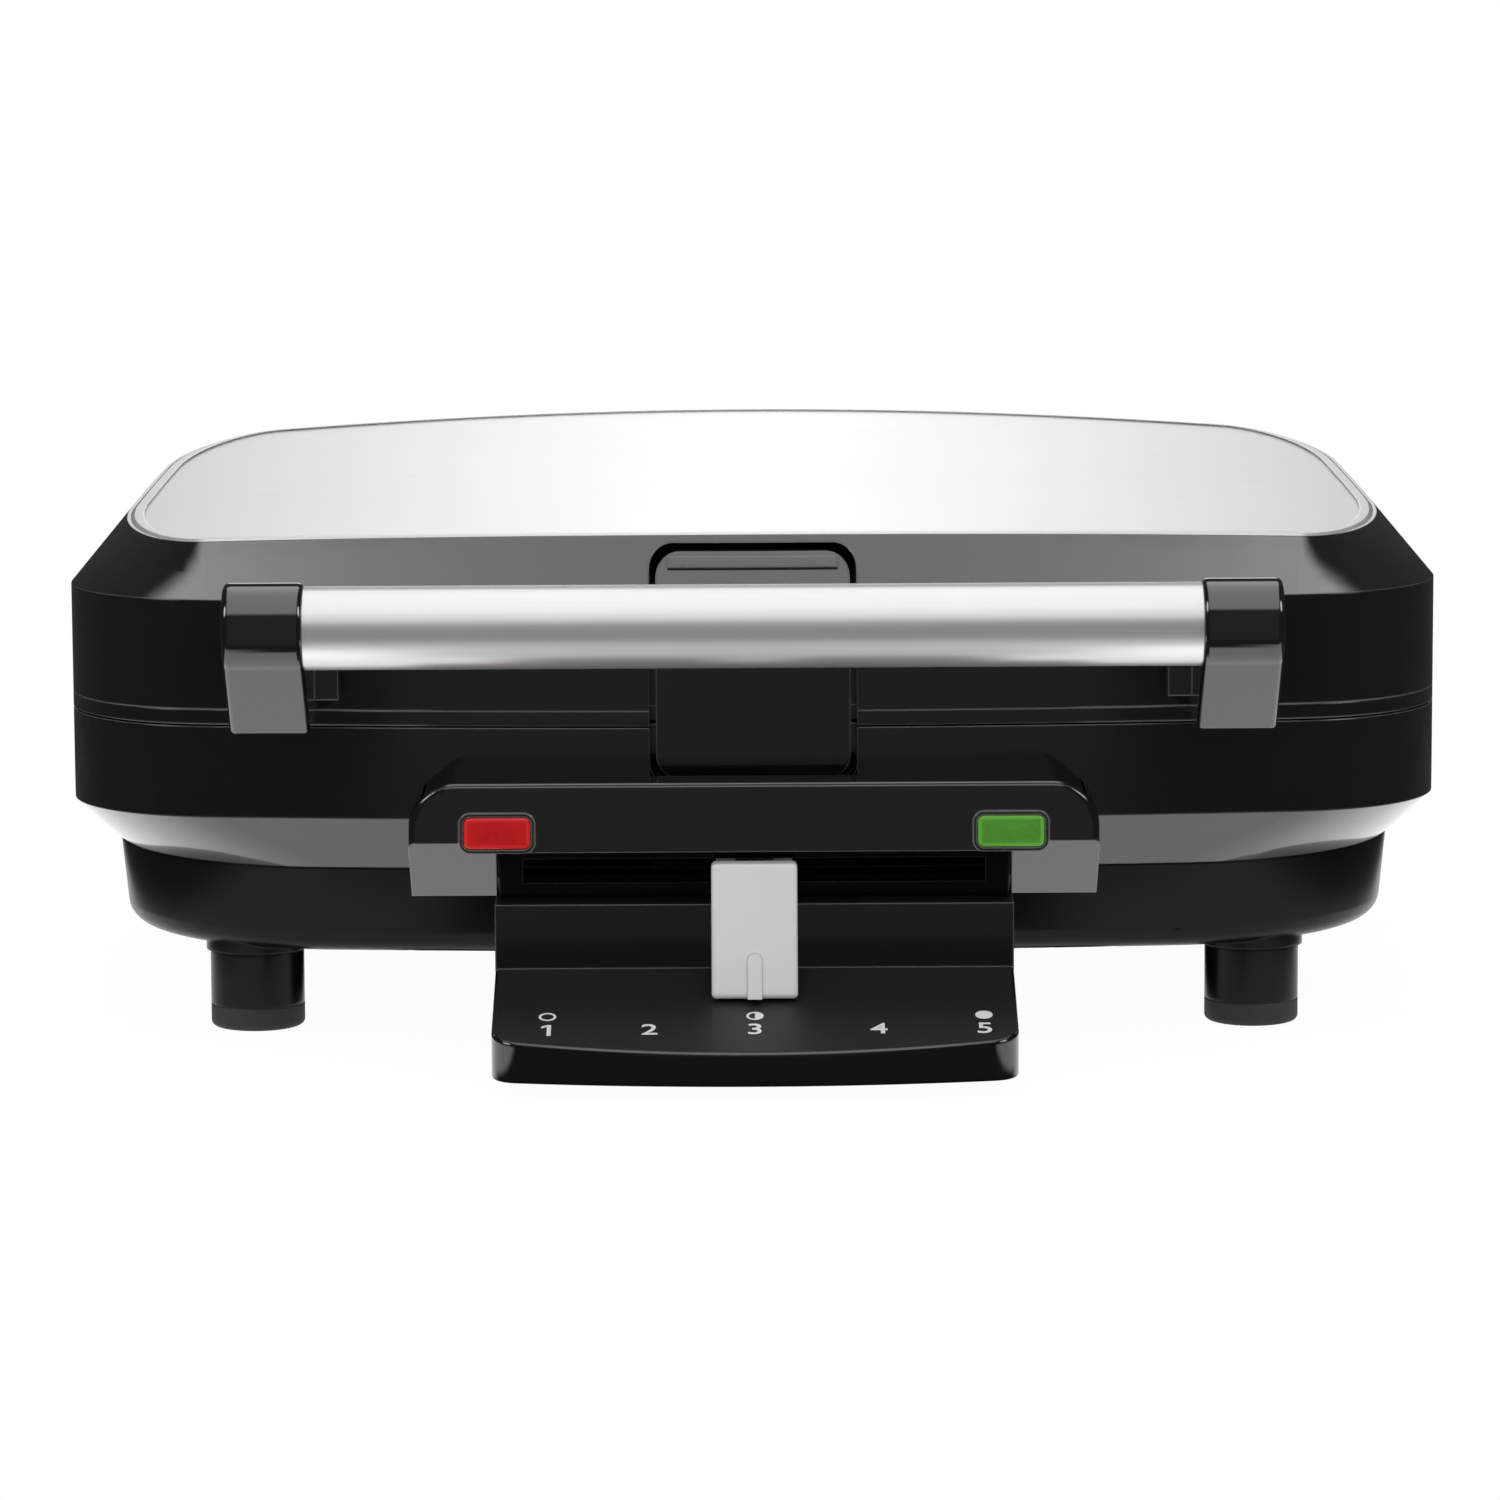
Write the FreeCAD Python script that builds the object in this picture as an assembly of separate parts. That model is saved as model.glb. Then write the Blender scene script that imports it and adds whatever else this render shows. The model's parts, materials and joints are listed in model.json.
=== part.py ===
import FreeCAD, Part
import math
import os
from collections import namedtuple

Vector = FreeCAD.Vector

# Waffle maker with a hinged lid, in millimetres. x runs to the right and z up from the table.
# While the pieces are shaped, y runs back from the middle of the body's front face.
# Saving a piece moves it so that the whole object stands centred on the origin.

# Body outline, seen from above
BODY_WIDTH = 296.0
BODY_DEPTH = 306.0
BODY_CORNER = 36.5
FRONT_BOW = 10.5
SIDE_BOW = 0.7
WALL = 2.5

# How far outside pieces run into the body before they are trimmed to it, and cutting shapes past a face
TRIM_DEPTH = 15.0
OVERCUT = 1.0
EASE_ROUNDS = 20

# Stack of heights, from the table up
PAD_HEIGHT = 5.0
POST_HEIGHT = 12.0
FOOT_BOSS_HEIGHT = 1.7
PAN_HEIGHT = 19.0
LOWER_BEVEL_HEIGHT = 11.9
BASE_WALL_HEIGHT = 19.6
SEAM_GAP = 0.4
FRAME_HEIGHT = 3.2
LID_WALL_HEIGHT = 23.4
SHOULDER_HEIGHT = 12.7

# Lid shoulders, crown and steel panel
SHOULDER_IN_FRONT = 12.1
SHOULDER_IN_SIDE = 10.7
SHOULDER_BOW = 32.5
SHOULDER_CORNER = 20.0
SHOULDER_EASE = 111.0
CROWN_RADIUS = 2430.0
DECK = 2.5
PANEL_SHEET = 0.8
PANEL_MARGIN = 1.0
PANEL_GAP = 0.25
PANEL_RIM_WIDTH = 2.2
PANEL_RIM_RISE = 0.4

# Lower bevel and pan
LOWER_IN_FRONT = 9.1
LOWER_IN_SIDE = 7.8
LOWER_CORNER = 52.0
LOWER_BOW = 9.5
PAN_DRAFT = 1.7
PAN_EDGE = 5.0

# Feet
FOOT_RADIUS = 10.15
FOOT_BOSS_RADIUS = 11.0
FOOT_SIDE_IN = 40.0
FOOT_IN = 33.0
FOOT_SPIGOT_RADIUS = 5.0
FOOT_SPIGOT_HEIGHT = 7.0
PAD_STUD_RADIUS = 4.0
PAD_STUD_HEIGHT = 4.0
PAD_EDGE = 1.2
SNUG = 0.1

# Waffle plates and the rim that carries them
RIM_SIDE = 13.0
RIM_FRONT = 18.0
PLATE_CORNER = 22.0
PLATE_BOW = 1.0
PLATE_GAP = 0.4
FLANGE = 2.0
LEDGE_WIDTH = 8.0
LEDGE = 2.3
TUB_MARGIN = 1.0
TUB_WALL = 3.0
TUB_FLOOR = 3.0
CAVITY_DEPTH = 13.0
DIVIDER = 12.0
PEG_ROWS = 4
PEG_BASE = 19.5
PEG_TOP = 14.5
PEG_HEIGHT = 9.5
PEG_ROOT = 1.0
PLATE_BOSS_RADIUS = 5.0
PLATE_BOSS_IN_X = 18.0
PLATE_BOSS_IN_Y = 14.0

# Heating elements and reflectors
ELEMENT_RADIUS = 3.25
ELEMENT_GAP = 0.2
ELEMENT_BEND = 30.0
ELEMENT_IN_X = 46.0
ELEMENT_IN_Y = 34.0
ELEMENT_TAIL = 12.0
ELEMENT_PIN_RADIUS = 1.5
ELEMENT_ROOM = 0.5
REFLECTOR_SHEET = 0.8
REFLECTOR_MARGIN = 4.0

# Screws
SCREW_RADIUS = 1.8
SCREW_HEAD_RADIUS = 3.4
SCREW_HEAD = 2.0
SCREW_GRIP = 6.0
POST_RADIUS = 4.0
SCREW_ROW_IN = 80.0
PLATE_SCREW_IN = 110.0

# Handle
TUBE_RADIUS = 8.65
TUBE_BORE = 7.2
HANDLE_SIDE_IN = 55.7
TUBE_SEAT = 12.0
TUBE_REACH = 28.5
TUBE_DROP = 1.7
BRACKET_WIDTH = 16.8
BRACKET_WRAP = 9.5
BRACKET_TURN = 55.0
BRACKET_FOOT = 18.0
BRACKET_OVERHANG = 1.8
BRACKET_TOP_FALL = 8.0
BRACKET_EDGE = 1.4
BRACKET_PAD_WIDTH = 5.0
BRACKET_PAD = 3.5
BRACKET_PAD_HEIGHT = 22.0
BRACKET_PAD_LIFT = 3.2
HANDLE_SCREW_LOW = 9.0
HANDLE_SCREW_PITCH = 10.0

# Latch
LATCH_WIDTH = 41.0
LATCH_GAP = 1.4
LATCH_PROUD = 2.2
LATCH_PLATE = 4.0
LATCH_TOP_DROP = 3.0
LATCH_BELOW_SEAM = 10.7
LATCH_CORNER = 5.0
LATCH_POCKET = 9.6
LATCH_POCKET_WALL = 2.0
LATCH_BARREL_RADIUS = 3.2
LATCH_WEB = 5.0
LATCH_PIVOT_IN = 5.4
LATCH_PIVOT_DROP = 7.0
LATCH_PIN_RADIUS = 1.5
LATCH_HOOK = 2.2
LATCH_HOOK_HEIGHT = 2.5
LATCH_RIBS = 3
LATCH_RIB_WIDTH = 36.0
LATCH_RIB_HEIGHT = 2.0
LATCH_RIB_PITCH = 5.7
LATCH_RIB_RISE = 0.7
LATCH_RIB_DROP = 3.0
CATCH_POCKET = 7.0
CATCH_FLOOR_DROP = 1.7
KEEPER_WIDTH = 30.0
KEEPER_HEIGHT = 2.0
KEEPER_GAP = 0.5
KEEPER_LIFT = 0.8
SPRING_WIDTH = 12.0
SPRING_STRIP = 0.5
SPRING_RISE = 9.0
SPRING_FOOT = 3.0
SPRING_GAP = 0.3

# Hinge
HINGE_SIDE_IN = 68.0
HINGE_BEHIND = 6.0
HINGE_LIFT = 1.1
KNUCKLE_RADIUS = 6.5
KNUCKLE_MIDDLE = 19.4
KNUCKLE_SIDE = 7.0
KNUCKLE_GAP = 0.3
HINGE_PIN_RADIUS = 3.0
HINGE_PLATE = 3.0
HINGE_PLATE_HEIGHT = 14.0
HINGE_ARM_HEIGHT = 20.0
PIN_FIT = 0.02
RUNNING_FIT = 0.05

# Control pod with its lenses
POD_WIDTH = 144.4
POD_REACH = 20.0
POD_TOP_DROP = 8.7
POD_HEIGHT = 25.9
POD_CORNER = 10.0
POD_EDGE = 1.5
POD_WALL = 2.4
POD_CHAMFER_RISE = 13.4
POD_CHAMFER_BACK = 14.0
LENS_WIDTH = 14.0
LENS_HEIGHT = 6.7
LENS_CORNER = 1.4
LENS_DEPTH = 4.0
LENS_PROUD = 0.6
LENS_SIDE_IN = 18.6
LENS_DROP = 10.4
LENS_EDGE = 0.6
BEZEL = 0.9
BEZEL_PROUD = 0.4
LAMP_RADIUS = 1.8
LAMP_LENGTH = 9.0
LAMP_LIFT = 0.6
POD_SCREW_X = 64.5
POD_SCREW_BOSS = 3.0
POD_SCREW_DROP = 4.8

# Temperature slider
SCALE_PITCH = 22.0
SCALE_STEPS = 5
RECESS_WIDTH = 107.0
RECESS_HEIGHT = 11.3
RECESS_DEPTH = 9.0
KNOB_WIDTH = 17.9
KNOB_HEIGHT = 27.5
KNOB_THICK = 5.5
KNOB_LEAN = 18.0
KNOB_FOOT_REACH = 34.5
KNOB_EDGE = 1.0
POINTER_WIDTH = 3.0
POINTER_ROUND = 1.4
POINTER_HEIGHT = 9.0
POINTER_RISE = 0.6
POINTER_LIFT = 0.6
POINTER_SINK = 1.0
SLIDE_CLEARANCE = 0.5
NECK_WIDTH = 8.0
NECK_HEIGHT = 4.0
NECK_LIFT = 4.0
NECK_SLOT_SIDE = 2.0
NECK_SLOT_ABOVE = 3.0
CARRIAGE_WIDTH = 16.0
CARRIAGE_THICK = 6.8
CARRIAGE_OFF_WALL = 1.6
GUIDE_RADIUS = 2.0
GUIDE_LIFT = 15.4
CARRIAGE_ABOVE_GUIDE = 4.0
RACK_IN = 19.0
RACK_BAR = 3.5
RACK_SPARE = 6.0

# Thermostat and its gear
GEAR_MODULE = 1.0
PINION_TEETH = 42
TOOTH_TOP = 0.9
TOOTH_ROOT = 1.25
TOOTH_BACKLASH = 0.25
PRESSURE_ANGLE = 20.0
THERMOSTAT_WIDTH = 44.0
THERMOSTAT_FRONT = 16.0
THERMOSTAT_MARGIN = 3.0
SPINDLE_RADIUS = 3.0
SPINDLE_BORE_DEPTH = 8.0
SPINDLE_COLLAR = 5.0
SPINDLE_TIP = 0.8
PROBE_RADIUS = 3.0
PROBE_ROOM = 1.5
PROBE_HOLE_GAP = 0.6

# Control tray
TRAY_WIDTH = 109.0
TRAY_REACH = 56.0
TRAY_RISER_REACH = 18.0
TRAY_RISER_HEIGHT = 13.6
TRAY_SLOPE = 16.0
TRAY_LIP = 7.0
TRAY_FLAT = 12.0
TRAY_BOW = 6.0
TRAY_SIDE_BOW = 0.3
TRAY_CORNER = 6.3
TRAY_WALL = 2.5
TRAY_EDGE = 0.8
TRAY_SCREW_X = 40.0
TRAY_SCREW_DROP = 7.0

# Electrical pieces in the base
GLAND_X = -60.0
GLAND_RADIUS = 6.0
GLAND_BORE = 3.6
GLAND_FLANGE_RADIUS = 8.0
GLAND_FLANGE = 3.0
GLAND_INSIDE = 6.0
TERMINAL_WIDTH = 32.0
TERMINAL_DEPTH = 16.0
TERMINAL_HEIGHT = 13.0
TERMINAL_OFF_WALL = 14.0
TERMINAL_WAYS = 3
TERMINAL_HOLE = 2.0
FUSE_RADIUS = 3.0
FUSE_LENGTH = 20.0

# Levels and planes worked out from the sizes above
post_z = PAD_HEIGHT
boss_z = post_z + POST_HEIGHT
pan_z = boss_z + FOOT_BOSS_HEIGHT
bevel_z = pan_z + PAN_HEIGHT
wall_z = bevel_z + LOWER_BEVEL_HEIGHT
rim_z = wall_z + BASE_WALL_HEIGHT
frame_z = rim_z + SEAM_GAP
seam_z = rim_z + SEAM_GAP / 2
lid_z = frame_z + FRAME_HEIGHT
shoulder_z = lid_z + LID_WALL_HEIGHT
crown_z = shoulder_z + SHOULDER_HEIGHT
pan_floor_z = pan_z + WALL
half_body = BODY_WIDTH / 2
foot_x = half_body - FOOT_SIDE_IN
tube_half = half_body - HANDLE_SIDE_IN
hinge_x = half_body - HINGE_SIDE_IN
middle_y = BODY_DEPTH / 2
hinge_y = BODY_DEPTH + HINGE_BEHIND
hinge_z = seam_z + HINGE_LIFT
tub_z = rim_z - CAVITY_DEPTH - TUB_FLOOR
element_z = tub_z - ELEMENT_GAP - ELEMENT_RADIUS
reflector_z = element_z - ELEMENT_RADIUS - ELEMENT_ROOM
tube_z = shoulder_z - TUBE_DROP
tube_y = -TUBE_REACH
latch_half = LATCH_WIDTH / 2
pocket_half = latch_half + LATCH_GAP
latch_top_z = crown_z - LATCH_TOP_DROP
latch_bottom_z = seam_z - LATCH_BELOW_SEAM
latch_pivot_z = shoulder_z - LATCH_PIVOT_DROP
catch_floor_z = latch_bottom_z - CATCH_FLOOR_DROP
pod_front = -POD_REACH
pod_half = POD_WIDTH / 2
pod_top_z = rim_z - POD_TOP_DROP
pod_z = pod_top_z - POD_HEIGHT
lens_x = pod_half - LENS_SIDE_IN
lens_z = pod_top_z - LENS_DROP
recess_half = RECESS_WIDTH / 2
recess_top_z = pod_z + RECESS_HEIGHT
recess_back = pod_front + RECESS_DEPTH
slide_travel = SCALE_PITCH * (SCALE_STEPS - 1) / 2
riser_y = -TRAY_RISER_REACH
tray_floor_z = pod_z - TRAY_RISER_HEIGHT
tray_fall = math.tan(math.radians(TRAY_SLOPE))
neck_z = pod_z + NECK_LIFT
guide_z = pod_z + GUIDE_LIFT
carriage_back = -CARRIAGE_OFF_WALL
guide_y = carriage_back - CARRIAGE_THICK / 2
pinion_radius = GEAR_MODULE * PINION_TEETH / 2
tooth_pitch = GEAR_MODULE * math.pi
rack_line = RACK_IN + RACK_BAR + GEAR_MODULE * TOOTH_ROOT
spindle_y = rack_line + pinion_radius
thermostat_top_z = neck_z - SPINDLE_COLLAR / 2
probe_y = spindle_y + pinion_radius + GEAR_MODULE * TOOTH_TOP + PROBE_ROOM + PROBE_RADIUS
gland_z = (pan_z + bevel_z) / 2
frame_y = (TRAY_REACH - hinge_y - KNUCKLE_RADIUS) / 2

Plan = namedtuple("Plan", "half_w front back bow side_bow corner")


def inner_plan(in_side, in_front, bow, corner):
    """Outline set in from the body's sides, front and rear."""
    return Plan(half_body - in_side, in_front, BODY_DEPTH - in_front, bow, SIDE_BOW, corner)


BODY_PLAN = inner_plan(0.0, 0.0, FRONT_BOW, BODY_CORNER)
LOWER_PLAN = inner_plan(LOWER_IN_SIDE, LOWER_IN_FRONT, LOWER_BOW, LOWER_CORNER)
PAN_PLAN = inner_plan(LOWER_IN_SIDE + PAN_DRAFT, LOWER_IN_FRONT + PAN_DRAFT, LOWER_BOW, LOWER_CORNER)
PLATE_PLAN = inner_plan(RIM_SIDE, RIM_FRONT, PLATE_BOW, PLATE_CORNER)


def arc_radius(half_chord, bow):
    """Radius of an arc that bows by the given amount over its half chord."""
    return (half_chord ** 2 + bow ** 2) / (2 * bow)


def front_y(plan, x, inset=0.0):
    """y of an outline's front arc at x."""
    radius = arc_radius(plan.half_w, plan.bow) - inset
    return plan.front + inset + radius - math.sqrt(radius ** 2 - x ** 2)


def back_y(plan, x, inset=0.0):
    """y of an outline's rear arc at x."""
    return plan.front + plan.back - front_y(plan, x, inset)


def plan_wire(plan, inset, z):
    """Closed outline of four bowed sides and four tangent corner arcs."""
    half_d = (plan.back - plan.front) / 2
    mid = (plan.front + plan.back) / 2
    front_r = arc_radius(plan.half_w, plan.bow)
    side_r = arc_radius(half_d, plan.side_bow)
    front_c = Vector(0, front_r - half_d, 0)
    side_c = Vector(plan.half_w - side_r, 0, 0)
    across = side_c - front_c
    reach = across.Length
    along = ((front_r - plan.corner) ** 2 - (side_r - plan.corner) ** 2 + reach ** 2) / (2 * reach)
    offset = math.sqrt((front_r - plan.corner) ** 2 - along ** 2)
    unit = across / reach
    corner_c = front_c + unit * along + Vector(-unit.y, unit.x, 0) * offset
    corner_c = Vector(abs(corner_c.x), -abs(corner_c.y), 0)
    to_front = (corner_c - front_c).normalize()
    to_side = (corner_c - side_c).normalize()
    on_front = front_c + to_front * (front_r - inset)
    on_side = side_c + to_side * (side_r - inset)
    on_corner = corner_c + (to_front + to_side).normalize() * (plan.corner - inset)
    mid_front = Vector(0, inset - half_d, 0)
    mid_side = Vector(plan.half_w - inset, 0, 0)

    def place(point, flip_x, flip_y):
        return Vector(point.x * flip_x, mid + point.y * flip_y, z)

    edges = []
    for flip_x, flip_y in ((1, -1), (1, 1), (-1, 1), (-1, -1)):
        corner = [place(p, flip_x, -flip_y) for p in (on_front, on_corner, on_side)]
        if flip_x * flip_y > 0:
            corner.reverse()
        edges.append(Part.Arc(*corner).toShape())
    sides = (
        ((on_side, 1, 1), (mid_side, 1, 1), (on_side, 1, -1)),
        ((on_front, 1, -1), (mid_front, 1, -1), (on_front, -1, -1)),
        ((on_side, -1, -1), (mid_side, -1, 1), (on_side, -1, 1)),
        ((on_front, -1, 1), (mid_front, 1, 1), (on_front, 1, 1)),
    )
    for side in sides:
        edges.append(Part.Arc(*[place(*entry) for entry in side]).toShape())
    return Part.Wire(Part.__sortEdges__(edges))


def shoulder_wire(inset, z):
    """Outline at the top of the shoulders. Its corners turn off the front and ease along the sides."""
    half_w = half_body - SHOULDER_IN_SIDE - inset
    across = SHOULDER_CORNER - inset
    ease = SHOULDER_EASE - inset
    radius = arc_radius(half_body - SHOULDER_IN_SIDE, SHOULDER_BOW) - inset
    front = SHOULDER_IN_FRONT + inset
    start = half_w - across
    for _ in range(EASE_ROUNDS):
        slope = start / math.sqrt(radius ** 2 - start ** 2)
        turn = math.atan(across / ease * slope)
        start = half_w - across + across * math.sin(turn)
    start_y = front + radius - math.sqrt(radius ** 2 - start ** 2)
    centre = Vector(half_w - across, start_y + ease * math.cos(turn), z)
    ellipse = Part.Ellipse(centre - Vector(0, ease, 0), centre + Vector(across, 0, 0), centre)
    corner = Part.ArcOfEllipse(ellipse, turn, math.pi / 2).toShape()
    end_y = centre.y
    far_y = BODY_DEPTH - end_y
    bow = Part.Arc(Vector(start, start_y, z), Vector(0, front, z), Vector(-start, start_y, z)).toShape()
    side = Part.LineSegment(Vector(half_w, end_y, z), Vector(half_w, far_y, z)).toShape()

    def behind(edge):
        return edge.mirror(Vector(0, middle_y, 0), Vector(0, 1, 0))

    def across_middle(edge):
        return edge.mirror(Vector(), Vector(1, 0, 0))

    rear = behind(corner)
    corners = [corner, rear, across_middle(rear), across_middle(corner)]
    runs = [side, across_middle(side), bow, behind(bow)]
    return Part.Wire(Part.__sortEdges__(corners + runs))


def plan_prism(plan, inset, z_low, z_high):
    """Upright solid on an outline."""
    return Part.Face(plan_wire(plan, inset, z_low)).extrude(Vector(0, 0, z_high - z_low))


def plan_loft(low_plan, low_z, high_plan, high_z, inset):
    """Straight-sided solid between two outlines."""
    wires = [plan_wire(low_plan, inset, low_z), plan_wire(high_plan, inset, high_z)]
    return Part.makeLoft(wires, True, True)


def box(x0, x1, y0, y1, z0, z1):
    return Part.makeBox(x1 - x0, y1 - y0, z1 - z0, Vector(x0, y0, z0))


def rod(start, axis, radius, length):
    return Part.makeCylinder(radius, length, Vector(*start), Vector(*axis))


def prism_x(points, x0, x1):
    """Solid with a (y, z) profile, from x0 to x1."""
    corners = [Vector(x0, y, z) for y, z in points]
    return Part.Face(Part.makePolygon(corners + corners[:1])).extrude(Vector(x1 - x0, 0, 0))


def lines_along_y(shape):
    """Straight edges that run front to back."""
    return [e for e in shape.Edges if e.BoundBox.XLength < 1e-6 and e.BoundBox.ZLength < 1e-6]


def edges_at_z(edges, z):
    return [e for e in edges if abs(e.BoundBox.ZMin - z) + abs(e.BoundBox.ZMax - z) < 1e-5]


def rounded_slab(half_x, z_low, z_high, radius, y0, y1):
    """Box whose four corners are rounded in the front view."""
    slab = box(-half_x, half_x, y0, y1, z_low, z_high)
    return slab.makeFillet(radius, lines_along_y(slab))


def frustum(x, y, z_low, z_high, low, high):
    """Square block that tapers from one size to another."""
    a, b = low / 2, high / 2
    rise = abs(z_high - z_low)
    wedge = Part.makeWedge(-a, 0, -a, -b, -b, a, rise, a, b, b)
    wedge.rotate(Vector(), Vector(1, 0, 0), 90)
    wedge.translate(Vector(x, y, z_low))
    return wedge


def screw(head_face, axis, shank):
    """Pan-head screw: its head lies behind head_face and its shank runs along the axis."""
    face = Vector(*head_face)
    direction = Vector(*axis)
    head = Part.makeCylinder(SCREW_HEAD_RADIUS, SCREW_HEAD, face - direction * SCREW_HEAD, direction)
    return head.fuse(Part.makeCylinder(SCREW_RADIUS, shank, face, direction)).removeSplitter()


def screw_hole(start, axis, length):
    return rod(start, axis, SCREW_RADIUS + SNUG, length)


def spot_face(head_face):
    """Flat seat behind a wall for a screw that runs forward."""
    return rod(head_face, (0, 1, 0), SCREW_HEAD_RADIUS + SNUG, SCREW_HEAD)


def over_seam(shape):
    """The lid's copy of a piece of the base."""
    return shape.mirror(Vector(0, 0, seam_z), Vector(0, 0, 1))


def save(name, shape):
    moved = shape.copy()
    moved.translate(Vector(0, frame_y, 0))
    moved.exportStep("parts/" + name + ".step")


def save_group(name, solids):
    save(name, Part.makeCompound(solids))


# Forms of the lid, the base and the pan. A positive inset lies inside the outer faces.

def crown_solid(drop):
    axis_z = crown_z - drop - CROWN_RADIUS
    return rod((0, -BODY_DEPTH, axis_z), (0, 1, 0), CROWN_RADIUS, 3 * BODY_DEPTH)


def lid_form(inset, drop, z_low=lid_z):
    walls = plan_prism(BODY_PLAN, inset, z_low, shoulder_z)
    top_z = crown_z + PANEL_RIM_RISE
    outlines = [plan_wire(BODY_PLAN, inset, shoulder_z), shoulder_wire(inset, top_z)]
    shoulders = Part.makeLoft(outlines, True, True)
    return walls.fuse(shoulders).common(crown_solid(drop)).removeSplitter()


def base_form(inset):
    walls = plan_prism(BODY_PLAN, inset, wall_z, rim_z)
    bevel = plan_loft(LOWER_PLAN, bevel_z, BODY_PLAN, wall_z, inset)
    return walls.fuse(bevel).removeSplitter()


def pan_form(inset, floor):
    return plan_loft(PAN_PLAN, pan_z + floor, LOWER_PLAN, bevel_z, inset)


lid_outer = lid_form(0.0, 0.0)
base_outer = base_form(0.0)
pan_outer = pan_form(0.0, 0.0)
pan_outer = pan_outer.makeFillet(PAN_EDGE, edges_at_z(pan_outer.Edges, pan_z))
body_outer = base_outer.fuse(pan_outer)

# Places that several pieces share
sides = (("left", -1), ("right", 1))
foot_places = [
    (depth + "_" + side, sign * foot_x, y)
    for depth, y in (("front", FOOT_IN), ("rear", BODY_DEPTH - FOOT_IN))
    for side, sign in sides
]
ledge_x = PLATE_PLAN.half_w - LEDGE_WIDTH / 2
post_places = [(s * ledge_x, y) for s in (-1, 1) for y in (SCREW_ROW_IN, BODY_DEPTH - SCREW_ROW_IN)]
plate_screw_places = [
    (s * ledge_x, y) for s in (-1, 1) for y in (PLATE_SCREW_IN, BODY_DEPTH - PLATE_SCREW_IN)
]
lid_post_x = (half_body - WALL + PLATE_PLAN.half_w) / 2
lid_post_places = [
    (s * lid_post_x, y) for s in (-1, 1) for y in (SCREW_ROW_IN, BODY_DEPTH - SCREW_ROW_IN)
]
tub_inset = LEDGE_WIDTH + TUB_MARGIN
cavity_inset = tub_inset + TUB_WALL
cavity_half_x = PLATE_PLAN.half_w - cavity_inset
cavity_half_y = middle_y - PLATE_PLAN.front - cavity_inset
boss_places = [
    (sx * (cavity_half_x - PLATE_BOSS_IN_X), middle_y + sy * (cavity_half_y - PLATE_BOSS_IN_Y))
    for sx in (-1, 1)
    for sy in (-1, 1)
]
pod_screw_z = pod_top_z - POD_SCREW_DROP
pod_screw_xs = (-POD_SCREW_X, POD_SCREW_X)
tray_screw_z = pod_z - TRAY_SCREW_DROP
tray_screw_xs = (-TRAY_SCREW_X, TRAY_SCREW_X)


def pod_screw_face(x):
    """Inner face of the base's front wall at a pod screw."""
    return front_y(BODY_PLAN, x, WALL)


def tray_screw_face(x):
    """Inner face of the pan's front wall at a tray screw."""
    return front_y(LOWER_PLAN, x, WALL)


def handle_screw_face(x):
    """Inner face of the lid's front wall at a handle screw."""
    return front_y(BODY_PLAN, x, WALL)


def make_feet():
    for place, x, y in foot_places:
        pad = rod((x, y, 0), (0, 0, 1), FOOT_RADIUS, PAD_HEIGHT)
        pad = pad.makeFillet(PAD_EDGE, edges_at_z(pad.Edges, 0))
        stud = rod((x, y, post_z), (0, 0, 1), PAD_STUD_RADIUS, PAD_STUD_HEIGHT)
        save("foot_pad_" + place, pad.fuse(stud).removeSplitter())
        post = rod((x, y, post_z), (0, 0, 1), FOOT_RADIUS, POST_HEIGHT)
        socket = rod((x, y, post_z), (0, 0, 1), PAD_STUD_RADIUS + SNUG, PAD_STUD_HEIGHT + SNUG)
        spigot = rod((x, y, boss_z), (0, 0, 1), FOOT_SPIGOT_RADIUS, FOOT_SPIGOT_HEIGHT)
        save("foot_post_" + place, post.cut(socket).fuse(spigot).removeSplitter())


def make_base_pan():
    pan = pan_outer.cut(pan_form(WALL, WALL))
    boss_height = FOOT_BOSS_HEIGHT + WALL + PAN_EDGE / 2
    bosses = [rod((x, y, boss_z), (0, 0, 1), FOOT_BOSS_RADIUS, boss_height) for _, x, y in foot_places]
    pan = pan.fuse(bosses)
    holes = [
        rod((x, y, boss_z), (0, 0, 1), FOOT_SPIGOT_RADIUS + SNUG, boss_height) for _, x, y in foot_places
    ]
    holes += [screw_hole((x, y, pan_z), (0, 0, 1), WALL) for x, y in post_places]
    gland_y = back_y(PAN_PLAN, GLAND_X)
    gland_run = 2 * (GLAND_INSIDE + WALL + PAN_DRAFT)
    holes.append(rod((GLAND_X, gland_y - gland_run / 2, gland_z), (0, 1, 0), GLAND_RADIUS + SNUG, gland_run))
    for x in tray_screw_xs:
        holes.append(screw_hole((x, 0, tray_screw_z), (0, 1, 0), tray_screw_face(x)))
        holes.append(spot_face((x, tray_screw_face(x), tray_screw_z)))
    save("base_pan", pan.cut(holes).removeSplitter())


def catch_slab(depth, margin):
    """Block behind the base's front face, where the lower end of the latch sits."""
    half = pocket_half + margin
    top = rim_z + 2 * LATCH_CORNER
    slab = rounded_slab(half, catch_floor_z - margin, top, LATCH_CORNER, -OVERCUT, depth)
    return slab.common(base_outer)


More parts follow.
